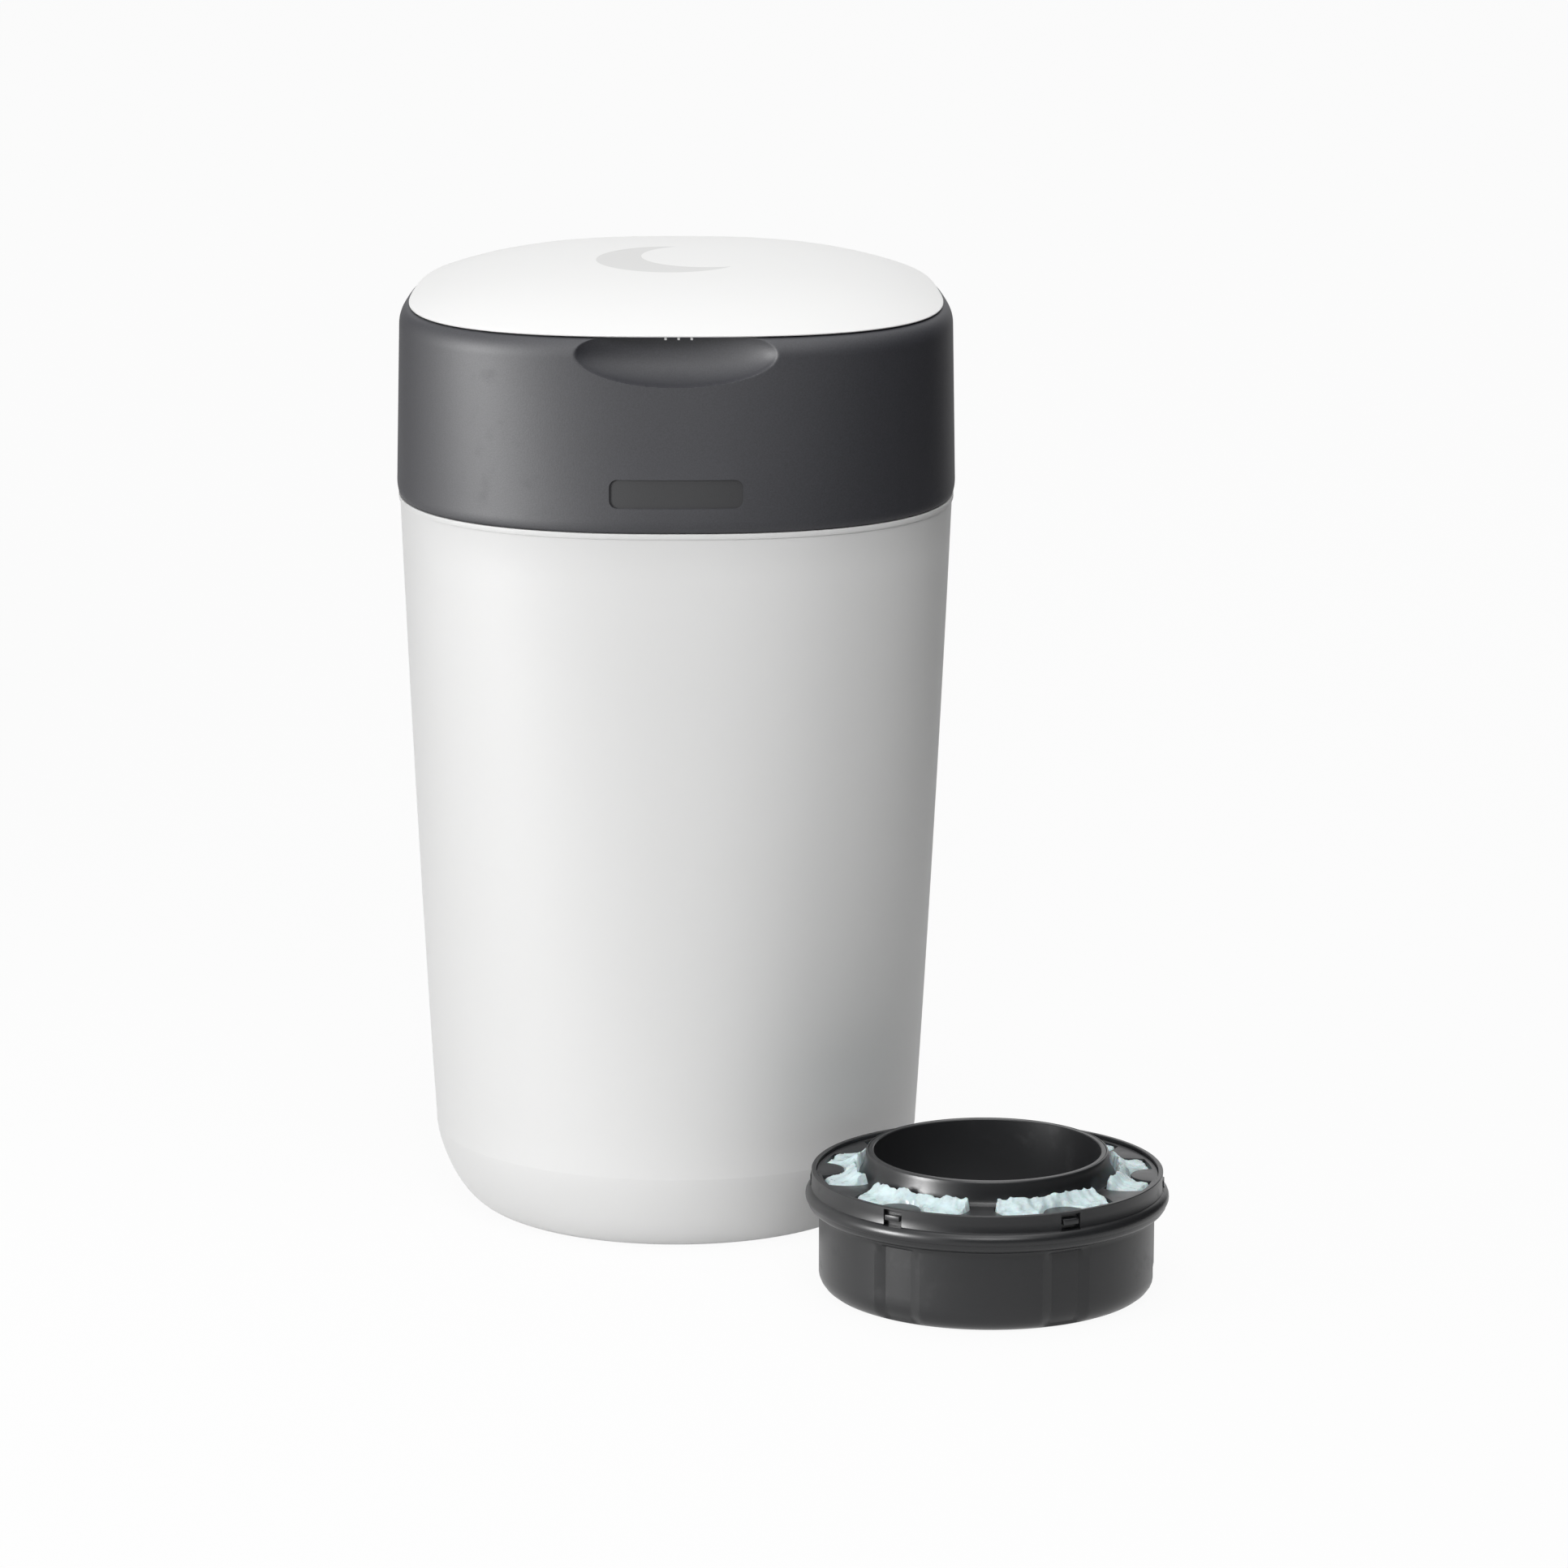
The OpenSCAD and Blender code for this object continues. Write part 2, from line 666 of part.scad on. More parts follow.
module twist_ring() {
    color(aqua) union() {
        ring(ring_r, bay_r, ring_z, ring_t);
        around(grips, 45) rotate([0, 0, -grip_arc / 2]) rotate_extrude(angle = grip_arc)
            polygon([[bay_r + 1.5, ring_z + ring_t / 2], [ring_r - 1.5, ring_z + ring_t / 2],
                [ring_r - 2.8, ring_z + ring_t + grip_h], [bay_r + 2.8, ring_z + ring_t + grip_h]]);
    }
}

// Cutter under the front of the pan

cutter_y = -(plan_reach(skirt_a - skirt_t, plan_top, cutter_len / 2, -1) - cutter_gap - cutter_d / 2);
cutter_z = pan_z - cutter_h;
rail_w = 12;
rail_h = 5;
lip_t = 2.5;
slot_w = 7;

// The rail channel, open downwards through a narrower slot, grown by g
module cutter_channel(len, g) {
    translate([-len / 2, cutter_y - rail_w / 2 - g, cutter_z + lip_t + glide - g])
        cube([len, rail_w + 2 * g, rail_h + 2 * g]);
    translate([-len / 2, cutter_y - slot_w / 2 - g, cutter_z - over])
        cube([len, slot_w + 2 * g, lip_t + 2 * over]);
}

module cutter_housing() {
    color(graphite) difference() {
        translate([-cutter_len / 2, cutter_y - cutter_d / 2, cutter_z])
            cube([cutter_len, cutter_d, cutter_h]);
        cutter_channel(cutter_len - 6, slider_clear);
    }
}

slider_x = -(cutter_len - 6) / 2 + 1 + slider_len / 2;
blade_t = 0.6;

module cutter_slider() {
    color(aqua) difference() {
        translate([slider_x, 0, 0]) union() {
            translate([-slider_len / 2, cutter_y - rail_w / 2, cutter_z + lip_t + glide])
                cube([slider_len, rail_w, rail_h]);
            translate([-slider_len / 2, cutter_y - slot_w / 2, cutter_z - 4])
                cube([slider_len, slot_w, lip_t + glide + 4 + over]);
        }
        blade_slot();
    }
}

module blade_slot() {
    translate([slider_x - slider_len / 2 + 4, cutter_y - blade_t / 2 - run_fit, cutter_z - 4 - over])
        cube([slider_len - 8, blade_t + 2 * run_fit, 6 + over]);
}

module cutter_blade() {
    x0 = slider_x - slider_len / 2 + 4 + run_fit;
    color(steel) translate([0, cutter_y + blade_t / 2, 0]) rotate([90, 0, 0]) linear_extrude(blade_t)
        polygon([[x0, cutter_z + 2 - run_fit], [x0, cutter_z - 6],
            [x0 + slider_len - 8 - 2 * run_fit, cutter_z - 9],
            [x0 + slider_len - 8 - 2 * run_fit, cutter_z + 2 - run_fit]]);
}

// Lid

lid_dome = [1, 0.985, 0.96, 0.92, 0.86, 0.78, 0.68, 0.55, 0.4, 0.24, 0.1];
lid_top_z = lid_z + lid_edge;
function dome_z(q) = lid_rise * (1 - pow(q, lid_full));
liner_t = 2.2;
liner_a = lid_a * 0.9;
liner_q = liner_a / (lid_a - lid_wall);
liner_z = lid_top_z + dome_z(liner_q) - lid_wall - 2 * seat - liner_t;
skirt_out_a = liner_a - 1;
skirt_wall = 3;
seal_h = 3;
seal_z = deck_z + glide;

// Four bosses reach from the dome down to the liner, at this share of the lid's half width
boss_share = 0.52;
boss_q = pow(pow(boss_share, plan_head) + pow(boss_share / (1 - plan_taper * boss_share), plan_head),
    1 / plan_head);
boss_z = liner_z + liner_t;
boss_top_z = lid_top_z + dome_z(boss_q) - lid_wall / 2;
boss_hole = 4;

module lid_boss_places() {
    d = lid_a * boss_share;
    for (x = [-d, d]) for (y = [-d, d]) translate([x, y, 0]) children();
}

module lid_neck() {
    slab_x([[lid_a - 4, lid_z + 0.6], [lid_a - 0.3, lid_z + 0.3],
        [high_a + 0.5, lid_axis_z + 4.5],
        [lid_axis_y - lid_eye_r + 0.3, lid_axis_z + 1.2],
        [lid_axis_y, lid_axis_z],
        [lid_axis_y + lid_diag, lid_axis_z + lid_diag],
        [lid_a, lid_z + 2.6], [lid_a - 4, lid_z + 3.2]], -eye_half, eye_half);
}

module lid_shell() {
    color(tub_grey) difference() {
        union() {
            difference() {
                loft(concat([[lid_a - 0.6, plan_head, lid_z], [lid_a, plan_head, lid_z + lid_edge / 2]],
                    [for (q = lid_dome) [lid_a * q, plan_head, lid_top_z + dome_z(q)]]));
                loft(concat([[lid_a - lid_wall, plan_head, lid_z - over]],
                    [for (q = lid_dome) [(lid_a - lid_wall) * q, plan_head,
                        lid_top_z - lid_wall + (q == 1 ? 0.8 : 0) + dome_z(q)]]));
            }
            lid_boss_places() difference() {
                translate([0, 0, boss_z]) cylinder(r = 4, h = boss_top_z - boss_z, $fn = 32);
                translate([0, 0, boss_z - over]) cylinder(r = screw_r, h = boss_hole, $fn = 24);
            }
            for (i = [-1 : 1])
                translate([(i + 0.2) * lip_rib_pitch - lip_rib_w / 2, -lid_a + 1.5, lid_z - lip_rib_h])
                cube([lip_rib_w, lip_rib_len, lip_rib_h + 1.5]);
            lid_neck();
            rod_x(lid_eye_r, eye_half, lid_axis_y, lid_axis_z);
        }
        rod_x(pin_r + run_fit, eye_half + over, lid_axis_y, lid_axis_z);
    }
}

module lid_liner() {
    color(tub_grey) plate(liner_a, plan_head, liner_z, liner_t);
}

// The ring between the liner and the seal
module seal_carrier() {
    color(tub_grey) difference() {
        plate(skirt_out_a, plan_head, seal_z + seal_h, liner_z - seal_z - seal_h);
        plate(skirt_out_a - skirt_wall, plan_head, seal_z, liner_z - seal_z + over);
    }
}

module lid_seal() {
    color(charcoal) difference() {
        plate(skirt_out_a, plan_head, seal_z, seal_h);
        plate(skirt_out_a - skirt_wall, plan_head, seal_z - over, seal_h + 2 * over);
    }
}

// Cassette, modelled about its own middle and then set on the floor

tube_in_r = tube_r - tube_wall;
cup_in_r = cup_r - panel_d - 2.4;
cup_floor = 2.5;
rim_wall = 2.2;
cover_z = cup_rim_z - cover_drop - cover_t;
cover_r = cup_rim_r - rim_wall - 0.4;
window_w = 10;
window_h = 8;

module at_cassette() {
    translate([cassette_x, -cassette_y, 0]) rotate([0, 0, panel_turn - 90]) children();
}

module cassette_cup() {
    steps = 6;
    outer = concat([[tube_in_r, 0], [cup_r - cup_round, 0]],
        [for (i = [1 : steps]) let (w = 90 * i / steps)
            [cup_r - cup_round * (1 - sin(w)), cup_round * (1 - cos(w))]],
        [[cup_r, flange_z - 2.5], [flange_r - 1.4, flange_z - 1], [flange_r, flange_z + 0.8],
         [flange_r, flange_z + flange_h - 2], [flange_r - 1, flange_z + flange_h - 0.4],
         [cup_rim_r, flange_z + flange_h], [cup_rim_r, cup_rim_z], [cup_rim_r - rim_wall, cup_rim_z],
         [cup_rim_r - rim_wall, flange_z + 2], [cup_in_r, flange_z - 3], [cup_in_r, cup_round],
         [cup_r - cup_round, cup_floor], [tube_r, cup_floor],
         [tube_r, tube_z], [tube_in_r, tube_z]]);
    panel_r = cup_r - panel_d;
    color(charcoal) at_cassette() difference() {
        rotate_extrude() polygon(outer);
        around(panels) translate([0, 0, -over]) linear_extrude(flange_z - 3 + over)
            polygon([[panel_r, -panel_r * tan(5.5)], [panel_r, panel_r * tan(5.5)],
                [flange_r, flange_r * tan(12)], [flange_r, -flange_r * tan(12)]]);
        around(panels) translate([cup_rim_r - rim_wall - over, -window_w / 2, cup_rim_z - 1 - window_h])
            cube([flange_r - cup_rim_r + rim_wall + 2 * over, window_w, window_h]);
    }
}

spoke_half = 4.6;
window_in_r = tube_r + 4.4;
window_out_r = cover_r - 2.2;
flare = 8.4;
// Half width of a spoke at radius r, flared like a trumpet out to the rim
function spoke_width(r) = let (u = (r - window_in_r) / (window_out_r - window_in_r))
    spoke_half + flare * pow(u, 2) + 0.2 * flare * pow(1 - u, 4);
function spoke_edge(r, s) = let (w = 30 - asin(spoke_width(r) / r)) [r * cos(s * w), r * sin(s * w)];
edge_steps = 8;
edge_radii = [for (i = [0 : edge_steps]) window_in_r + (window_out_r - window_in_r) * i / edge_steps];
function arc(r, w0, w1) = [for (i = [1 : 5]) let (w = w0 + (w1 - w0) * i / 6) [r * cos(w), r * sin(w)]];
window_in_w = 30 - asin(spoke_width(window_in_r) / window_in_r);
window_out_w = 30 - asin(spoke_width(window_out_r) / window_out_r);
window_outline = concat(
    [for (r = edge_radii) spoke_edge(r, -1)],
    arc(window_out_r, -window_out_w, window_out_w),
    [for (i = [edge_steps : -1 : 0]) spoke_edge(edge_radii[i], 1)],
    arc(window_in_r, window_in_w, -window_in_w));
tongue_r = 0.6 * (window_out_r - window_in_r);

module cassette_cover() {
    color(charcoal) at_cassette() {
        translate([0, 0, cover_z]) difference() {
            ring(cover_r, tube_r + seat, 0, cover_t);
            around(panels) translate([0, 0, -over]) linear_extrude(cover_t + 2 * over)
                difference() {
                    polygon(window_outline);
                    translate([window_out_r, 0]) circle(r = tongue_r, $fn = 32);
                }
        }
        around(panels) translate([cover_r - 1, -window_w / 2 + 1, cover_z - 3.4])
            cube([cup_rim_r - cover_r + 1.2, window_w - 2, 3.4 + cover_t / 2]);
    }
}

// The film lies in the cup as a gathered ring and swells up into each window
pleats = 60;
pleat_d = 1.6;
film_in_r = tube_r + 0.6;
film_out_r = cup_in_r - 0.6;
film_top = cover_z - 0.3;
bulge_gap = 0.6;
bulge_h = 5;
bulge_arc = 30;

function pleat_ring(r, d) = [for (i = [0 : 2 * pleats - 1])
    let (w = 180 * i / pleats, k = i % 2 == 0 ? r : r - d) [k * cos(w), k * sin(w)]];

module film_pack() {
    bulge_r = (window_in_r + window_out_r - tongue_r) / 2;
    bulge_half = (window_out_r - tongue_r - window_in_r) / 2 - bulge_gap;
    bulge_top = 0.85 * bulge_half;
    color(aqua) at_cassette() union() {
        translate([0, 0, cup_round]) linear_extrude(film_top - cup_round) difference() {
            polygon(pleat_ring(film_out_r, pleat_d));
            circle(r = film_in_r);
        }
        around(panels) rotate([0, 0, -bulge_arc / 2]) rotate_extrude(angle = bulge_arc)
            polygon([[bulge_r - bulge_half, film_top - over], [bulge_r + bulge_half, film_top - over],
                [bulge_r + bulge_top, film_top + bulge_h / 2], [bulge_r, film_top + bulge_h],
                [bulge_r - bulge_top, film_top + bulge_h]]);
    }
}

tub_shell();
head_hinge_pin();
band();
deck();
well();
pan();
gripper_ring();
click_spring();
deck_screws();
pan_screws();
gripper_screws();
cutter_housing();
lid_hinge_pin();
carrier();
twist_ring();
petal(0);  // petal_1
petal(60);  // petal_2
petal(120);  // petal_3
petal(180);  // petal_4
petal(240);  // petal_5
petal(300);  // petal_6
cutter_slider();
cutter_blade();
lid_shell();
lid_liner();
seal_carrier();
lid_seal();
cassette_cup();
cassette_cover();
film_pack();
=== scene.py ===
"""A nappy bin with a lift-up head and a domed lid, and one film cassette beside it."""

import math

import bmesh
import bpy
from bpy.props import FloatProperty, FloatVectorProperty, IntProperty, PointerProperty
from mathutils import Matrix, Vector, noise


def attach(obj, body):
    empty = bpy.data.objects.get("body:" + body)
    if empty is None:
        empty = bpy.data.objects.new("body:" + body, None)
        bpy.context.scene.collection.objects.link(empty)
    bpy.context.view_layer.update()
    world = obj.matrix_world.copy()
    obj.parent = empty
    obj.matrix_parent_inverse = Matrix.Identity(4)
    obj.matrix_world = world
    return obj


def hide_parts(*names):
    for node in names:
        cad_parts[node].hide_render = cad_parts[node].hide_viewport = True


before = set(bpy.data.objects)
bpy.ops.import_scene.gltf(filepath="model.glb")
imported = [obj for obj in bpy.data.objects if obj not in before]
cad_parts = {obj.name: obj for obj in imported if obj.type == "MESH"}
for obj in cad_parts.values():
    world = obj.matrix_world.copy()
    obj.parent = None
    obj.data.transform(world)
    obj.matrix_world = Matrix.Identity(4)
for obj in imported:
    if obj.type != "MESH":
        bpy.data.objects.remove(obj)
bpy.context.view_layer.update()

bl_info = {
    "name": "Nappy bin",
    "version": (1, 0, 0),
    "blender": (4, 5, 0),
    "location": "3D view > Sidebar > Nappy bin",
    "description": "Models and dresses a nappy bin and its film cassette",
    "category": "Object",
}

MM = 0.001
FULL_TURN = 2 * math.pi
DRAWN = 2.5


# Sizes and finishes that a user may change

def size_mm(name, description, millimetres):
    return FloatProperty(name=name, description=description, default=millimetres * MM, unit="LENGTH", precision=5)


def colour(name, description, red, green, blue):
    return FloatVectorProperty(name=name, description=description, subtype="COLOR", size=3, min=0, max=1,
                               default=(red, green, blue))


class TubSizes(bpy.types.PropertyGroup):
    """Sizes of the tub."""
    height: size_mm("Height", "Height of the rim above the floor", 362.8)
    rim_half: size_mm("Rim half width", "Half width of the collar at the rim", 134)
    collar_height: size_mm("Collar height", "Height of the collar at the rim", 2.6)
    collar_step: size_mm("Collar step", "Step from the collar in to the wall", 0.7)
    crease_half: size_mm("Crease half width", "Half width at the crease above the foot", 118.9)
    crease_height: size_mm("Crease height", "Height of the crease", 39.8)
    foot_round: size_mm("Foot rounding", "How far the foot curves in below the crease", 27.4)
    foot_lean: FloatProperty(name="Foot lean", description="Lean of the foot's curve at the crease, 2 is upright",
                             default=1.35, min=1, max=3)
    foot_full: FloatProperty(name="Foot fullness", description="Fullness of the foot's curve, 2 is an ellipse",
                             default=1.95, min=1, max=4)
    bulge: size_mm("Bulge", "How far the wall bulges halfway up", 1.2)
    wall: size_mm("Wall", "Wall of the tub", 2.6)
    floor: size_mm("Floor", "Floor of the tub", 3)
    roundness: FloatProperty(name="Rim roundness", description="Rim's outline, 2 is a circle and 4 nearly square",
                             default=2.4, min=2, max=4)
    taper: FloatProperty(name="Taper", description="How much narrower the outline is at the back, as a share",
                         default=0.085, min=0, max=0.2)


class HeadSizes(bpy.types.PropertyGroup):
    """Sizes of the head's band."""
    bottom: size_mm("Lower edge", "Height of the band's lower edge", 363.2)
    rim: size_mm("Rim height", "Height of the band's rim", 456.2)
    half: size_mm("Half width", "Half width at the widest line", 134.7)
    low_half: size_mm("Lower half width", "Half width of the turned lower edge", 133.1)
    high_half: size_mm("Shoulder half width", "Half width where the shoulder starts", 132.4)
    rim_half: size_mm("Rim half width", "Half width of the rim", 126.8)
    wall: size_mm("Wall", "Wall of the band", 3)
    turn: size_mm("Turned edge", "Height of the turned lower edge", 6)
    shoulder: size_mm("Shoulder height", "Height of the rounded shoulder", 9)
    roundness: FloatProperty(name="Roundness", description="Outline at the rim and of the lid, 4 is nearly square",
                             default=2.75, min=2, max=4)
    scoop_half: size_mm("Scoop half width", "Half width of the finger scoop", 49)
    scoop_drop: size_mm("Scoop drop", "How far the scoop's widest line lies below the rim", 6.5)
    scoop_height: size_mm("Scoop height", "Height of the scoop below its widest line", 16)
    scoop_depth: size_mm("Scoop depth", "Depth of the finger scoop", 13)
    badge_width: size_mm("Badge recess width", "Width of the bare recess", 64)
    badge_height: size_mm("Badge recess height", "Height of the bare recess", 14)
    badge_middle: size_mm("Badge recess middle", "Height of the recess's middle", 382.2)


class LidSizes(bpy.types.PropertyGroup):
    """Sizes of the lid."""
    half: size_mm("Half width", "Half width of the lid", 127.7)
    edge: size_mm("Edge height", "Height of the lid's lower edge", 456.8)
    rise: size_mm("Rise", "Rise of the dome", 15.5)
    wall: size_mm("Wall", "Wall of the lid", 2.6)
    fullness: FloatProperty(name="Fullness", description="Fullness of the dome, 2 is a parabola",
                            default=3.2, min=2, max=5)


class CassetteSizes(bpy.types.PropertyGroup):
    """Sizes of the film cassette."""
    middle: FloatVectorProperty(name="Middle", description="Where the cassette stands", size=2, unit="LENGTH",
                                precision=5, default=(0.1493, -0.1663))
    turn: FloatProperty(name="Turn", description="Direction of its first panel", subtype="ANGLE", default=math.radians(-64))
    body_radius: size_mm("Body radius", "Radius of the body", 81.1)
    flange_radius: size_mm("Flange radius", "Radius of the flange", 87.2)
    rim_radius: size_mm("Rim radius", "Radius of the rim wall", 84.3)
    rim_height: size_mm("Rim height", "Height of the rim", 59.2)
    tube_radius: size_mm("Tube radius", "Radius of the centre tube", 57.1)
    tube_height: size_mm("Tube height", "Height of the centre tube", 68.7)
    cover_top: size_mm("Cover height", "Height of the cover's face", 57.5)
    panels: IntProperty(name="Panels", description="Number of recessed panels and windows", default=6, min=3, max=12)


class Finishes(bpy.types.PropertyGroup):
    """Colours of the plastics and of the film."""
    white: colour("White plastic", "Tub and lid", 0.86, 0.86, 0.855)
    motif: colour("Lid motif", "Plain crescent on the lid", 0.715, 0.715, 0.71)
    graphite: colour("Graphite plastic", "Band of the head", 0.025, 0.0255, 0.031)
    charcoal: colour("Charcoal plastic", "Inner mouldings", 0.035, 0.037, 0.042)
    cassette: colour("Cassette plastic", "Film cassette", 0.018, 0.0185, 0.020)
    aqua: colour("Aqua plastic", "Twist ring, petals and slider", 0.36, 0.62, 0.60)
    film: colour("Film", "Gathered film", 0.67, 0.81, 0.83)


class StudioSettings(bpy.types.PropertyGroup):
    """Camera and lamps."""
    eye: FloatVectorProperty(name="Camera place", description="Where the camera stands", size=3, unit="LENGTH",
                             default=(0, -4.3644, 1.236))
    pitch: FloatProperty(name="Camera pitch", description="How far the camera looks down", subtype="ANGLE", default=0.231)
    lens: FloatProperty(name="Lens", description="Focal length in millimetres", default=208.45, min=20)
    shift: FloatProperty(name="Shift", description="Sideways shift of the view", default=0.0688)
    key: FloatProperty(name="Key lamp", description="Power of the tall lamp at the left, in watts", default=11, min=0)
    sheen: FloatProperty(name="Sheen lamp", description="Power of the lamp that only shows in surfaces, in watts",
                         default=66, min=0)
    top: FloatProperty(name="Top lamp", description="Power of the lamp above, in watts", default=16.5, min=0)
    front: FloatProperty(name="Front lamp", description="Power of the lamp in front, in watts", default=25, min=0)
    room: FloatProperty(name="Room light", description="Strength of the even light all round", default=0.44, min=0)


class BinSettings(bpy.types.PropertyGroup):
    """All the settings of the nappy bin."""
    tub: PointerProperty(type=TubSizes, name="Tub", description="Sizes of the tub")
    head: PointerProperty(type=HeadSizes, name="Head", description="Sizes of the head")
    lid: PointerProperty(type=LidSizes, name="Lid", description="Sizes of the lid")
    cassette: PointerProperty(type=CassetteSizes, name="Cassette", description="Sizes of the cassette")
    finishes: PointerProperty(type=Finishes, name="Finishes", description="Colours")
    studio: PointerProperty(type=StudioSettings, name="Studio", description="Camera and lamps")


# Modelling by hand: picking, drawing, growing, turning, cutting

def deselect():
    if bpy.context.object is not None and bpy.context.object.mode != "OBJECT":
        bpy.ops.object.mode_set(mode="OBJECT")
    bpy.ops.object.select_all(action="DESELECT")


def pick(piece):
    deselect()
    piece.select_set(True)
    bpy.context.view_layer.objects.active = piece


def enter(piece):
    pick(piece)
    bpy.ops.object.mode_set(mode="EDIT")
    bpy.ops.mesh.select_mode(type="VERT")
    bpy.ops.mesh.select_all(action="SELECT")


def leave():
    bpy.ops.object.mode_set(mode="OBJECT")


def fresh(name):
    """Names the primitive just added, seats its place in its mesh and opens it all selected."""
    piece = bpy.context.object
    piece.name = name
    bpy.ops.object.transform_apply(location=True, rotation=True, scale=True)
    enter(piece)
    return piece


def choose(piece, kind, test):
    """Selects the vertices, edges or faces that pass a test, in edit mode."""
    bpy.ops.mesh.select_mode(type={"verts": "VERT", "edges": "EDGE", "faces": "FACE"}[kind])
    bpy.ops.mesh.select_all(action="DESELECT")
    mesh = bmesh.from_edit_mesh(piece.data)
    found = 0
    for part in getattr(mesh, kind):
        if not part.hide and test(part):
            part.select_set(True)
            found += 1
    bmesh.update_edit_mesh(piece.data)
    return found


def face_height(face):
    return face.calc_center_median().z


def reach(point, roundness):
    """Half width of the rounded square that passes through a point."""
    return (abs(point.x) ** roundness + abs(point.y) ** roundness) ** (1 / roundness)


def plan_half(point, roundness, taper):
    """Half width of the outline that passes through a point and narrows to the back."""
    half = reach(point, roundness)
    for _ in range(8):
        x = point.x / (1 - taper * point.y / half)
        half = (abs(x) ** roundness + abs(point.y) ** roundness) ** (1 / roundness)
    return half


def narrow(piece, rule):
    """Gives each height its own roundness and a narrower back; bevels alone can't make that outline."""
    for v in piece.data.vertices:
        half = reach(v.co, DRAWN)
        if half > 1e-6:
            roundness, taper = rule(v.co.z)
            w = math.atan2(v.co.y, v.co.x)
            r = (abs(math.cos(w)) ** roundness + abs(math.sin(w)) ** roundness) ** (-1 / roundness)
            v.co.x = half * r * math.cos(w) * (1 - taper * r * math.sin(w))
            v.co.y = half * r * math.sin(w)


def rounded_square(name, half, height, steps):
    """A flat face in the bin's outline: a square with its corners bevelled until they meet."""
    deselect()
    bpy.ops.mesh.primitive_plane_add(size=2 * half, location=(0, 0, height))
    piece = fresh(name)
    bpy.ops.mesh.bevel(offset=half, segments=steps, profile=2 ** (-2 / DRAWN), affect="VERTICES")
    bpy.ops.mesh.remove_doubles(threshold=1e-6)
    bpy.ops.mesh.select_all(action="SELECT")
    return piece


def cap_of(piece):
    mesh = bmesh.from_edit_mesh(piece.data)
    marked = [v.co for v in mesh.verts if v.select]
    return max(abs(c.x) for c in marked), sum(c.z for c in marked) / len(marked)


def fit_cap(piece, half):
    now, height = cap_of(piece)
    share = half / now
    bpy.ops.transform.resize(value=(share, share, 1), center_override=(0, 0, height))


def grow(piece, levels):
    """Extrudes the selected cap through levels of half width and height."""
    for half, height in levels:
        now = cap_of(piece)[1]
        bpy.ops.mesh.extrude_region_move(TRANSFORM_OT_translate={"value": (0, 0, height - now)})
        fit_cap(piece, half)


def pole(piece):
    """Closes the selected cap to a point in its middle."""
    bpy.ops.mesh.extrude_region_move(TRANSFORM_OT_translate={"value": (0, 0, 0)})
    bpy.ops.mesh.merge(type="CENTER")


def face_outwards():
    bpy.ops.mesh.select_all(action="SELECT")
    bpy.ops.mesh.normals_make_consistent(inside=False)


def draw(name, points, filled=True):
    """Draws a closed outline through points, from a single vertex."""
    points = [Vector(p) for p in points]
    deselect()
    bpy.ops.mesh.primitive_plane_add(size=MM, location=points[0])
    piece = fresh(name)
    bpy.ops.mesh.merge(type="CENTER")
    for last, following in zip(points, points[1:]):
        bpy.ops.mesh.extrude_vertices_move(TRANSFORM_OT_translate={"value": following - last})
    bpy.ops.mesh.select_all(action="SELECT")
    bpy.ops.mesh.edge_face_add()
    if not filled:
        bpy.ops.mesh.delete(type="ONLY_FACE")
        bpy.ops.mesh.select_all(action="SELECT")
    return piece


def turned(name, profile, steps, middle=(0, 0)):
    """A solid of revolution from a closed profile of radius and height, about an upright axis."""
    x, y = middle
    piece = draw(name, [(x + r * MM, y, z * MM) for r, z in profile], filled=False)
    bpy.ops.mesh.spin(steps=steps, angle=FULL_TURN, center=(x, y, 0), axis=(0, 0, 1))
    bpy.ops.mesh.select_all(action="SELECT")
    bpy.ops.mesh.remove_doubles(threshold=1e-6)
    face_outwards()
    leave()
    return piece


def slab(name, outline, x0, x1, edge):
    """An outline in Y and Z, in millimetres, drawn out along X with its edges eased."""
    piece = draw(name, [(x0 * MM, y * MM, z * MM) for y, z in outline])
    bpy.ops.mesh.extrude_region_move(TRANSFORM_OT_translate={"value": ((x1 - x0) * MM, 0, 0)})
    face_outwards()
    choose(piece, "edges", lambda e: len(e.link_faces) == 2 and e.calc_face_angle() > 0.4)
    bpy.ops.mesh.bevel(offset=edge * MM, segments=3, affect="EDGES")
    leave()
    return piece


def rod(name, radius, x0, x1, y, z, edge=0.0, vertices=64):
    """A round bar along X, in millimetres, with eased ends."""
    deselect()
    bpy.ops.mesh.primitive_cylinder_add(vertices=vertices, radius=radius * MM, depth=(x1 - x0) * MM,
                                        location=((x0 + x1) / 2 * MM, y * MM, z * MM), rotation=(0, math.pi / 2, 0))
    piece = fresh(name)
    if edge:
        choose(piece, "edges", lambda e: len(e.link_faces) == 2 and e.calc_face_angle() > 1)
        bpy.ops.mesh.bevel(offset=edge * MM, segments=3, affect="EDGES")
    leave()
    return piece


def combine(piece, tool, operation):
    """Joins a tool to a piece, or cuts it out, and removes the tool."""
    pick(piece)
    bpy.ops.object.modifier_add(type="BOOLEAN")
    step = piece.modifiers[-1]
    step.operation = operation
    step.solver = "EXACT"
    step.object = tool
    bpy.ops.object.modifier_apply(modifier=step.name)
    pick(tool)
    bpy.ops.object.delete()
    pick(piece)
    return piece


def copy_of(piece, name):
    pick(piece)
    bpy.ops.object.duplicate()
    twin = bpy.context.object
    twin.name = name
    return twin


def turn_mesh(angle, middle):
    """Turns what is selected about an upright axis; transform.rotate turns the other way here."""
    bpy.ops.transform.rotate(value=-angle, orient_axis="Z", center_override=(middle[0], middle[1], 0))


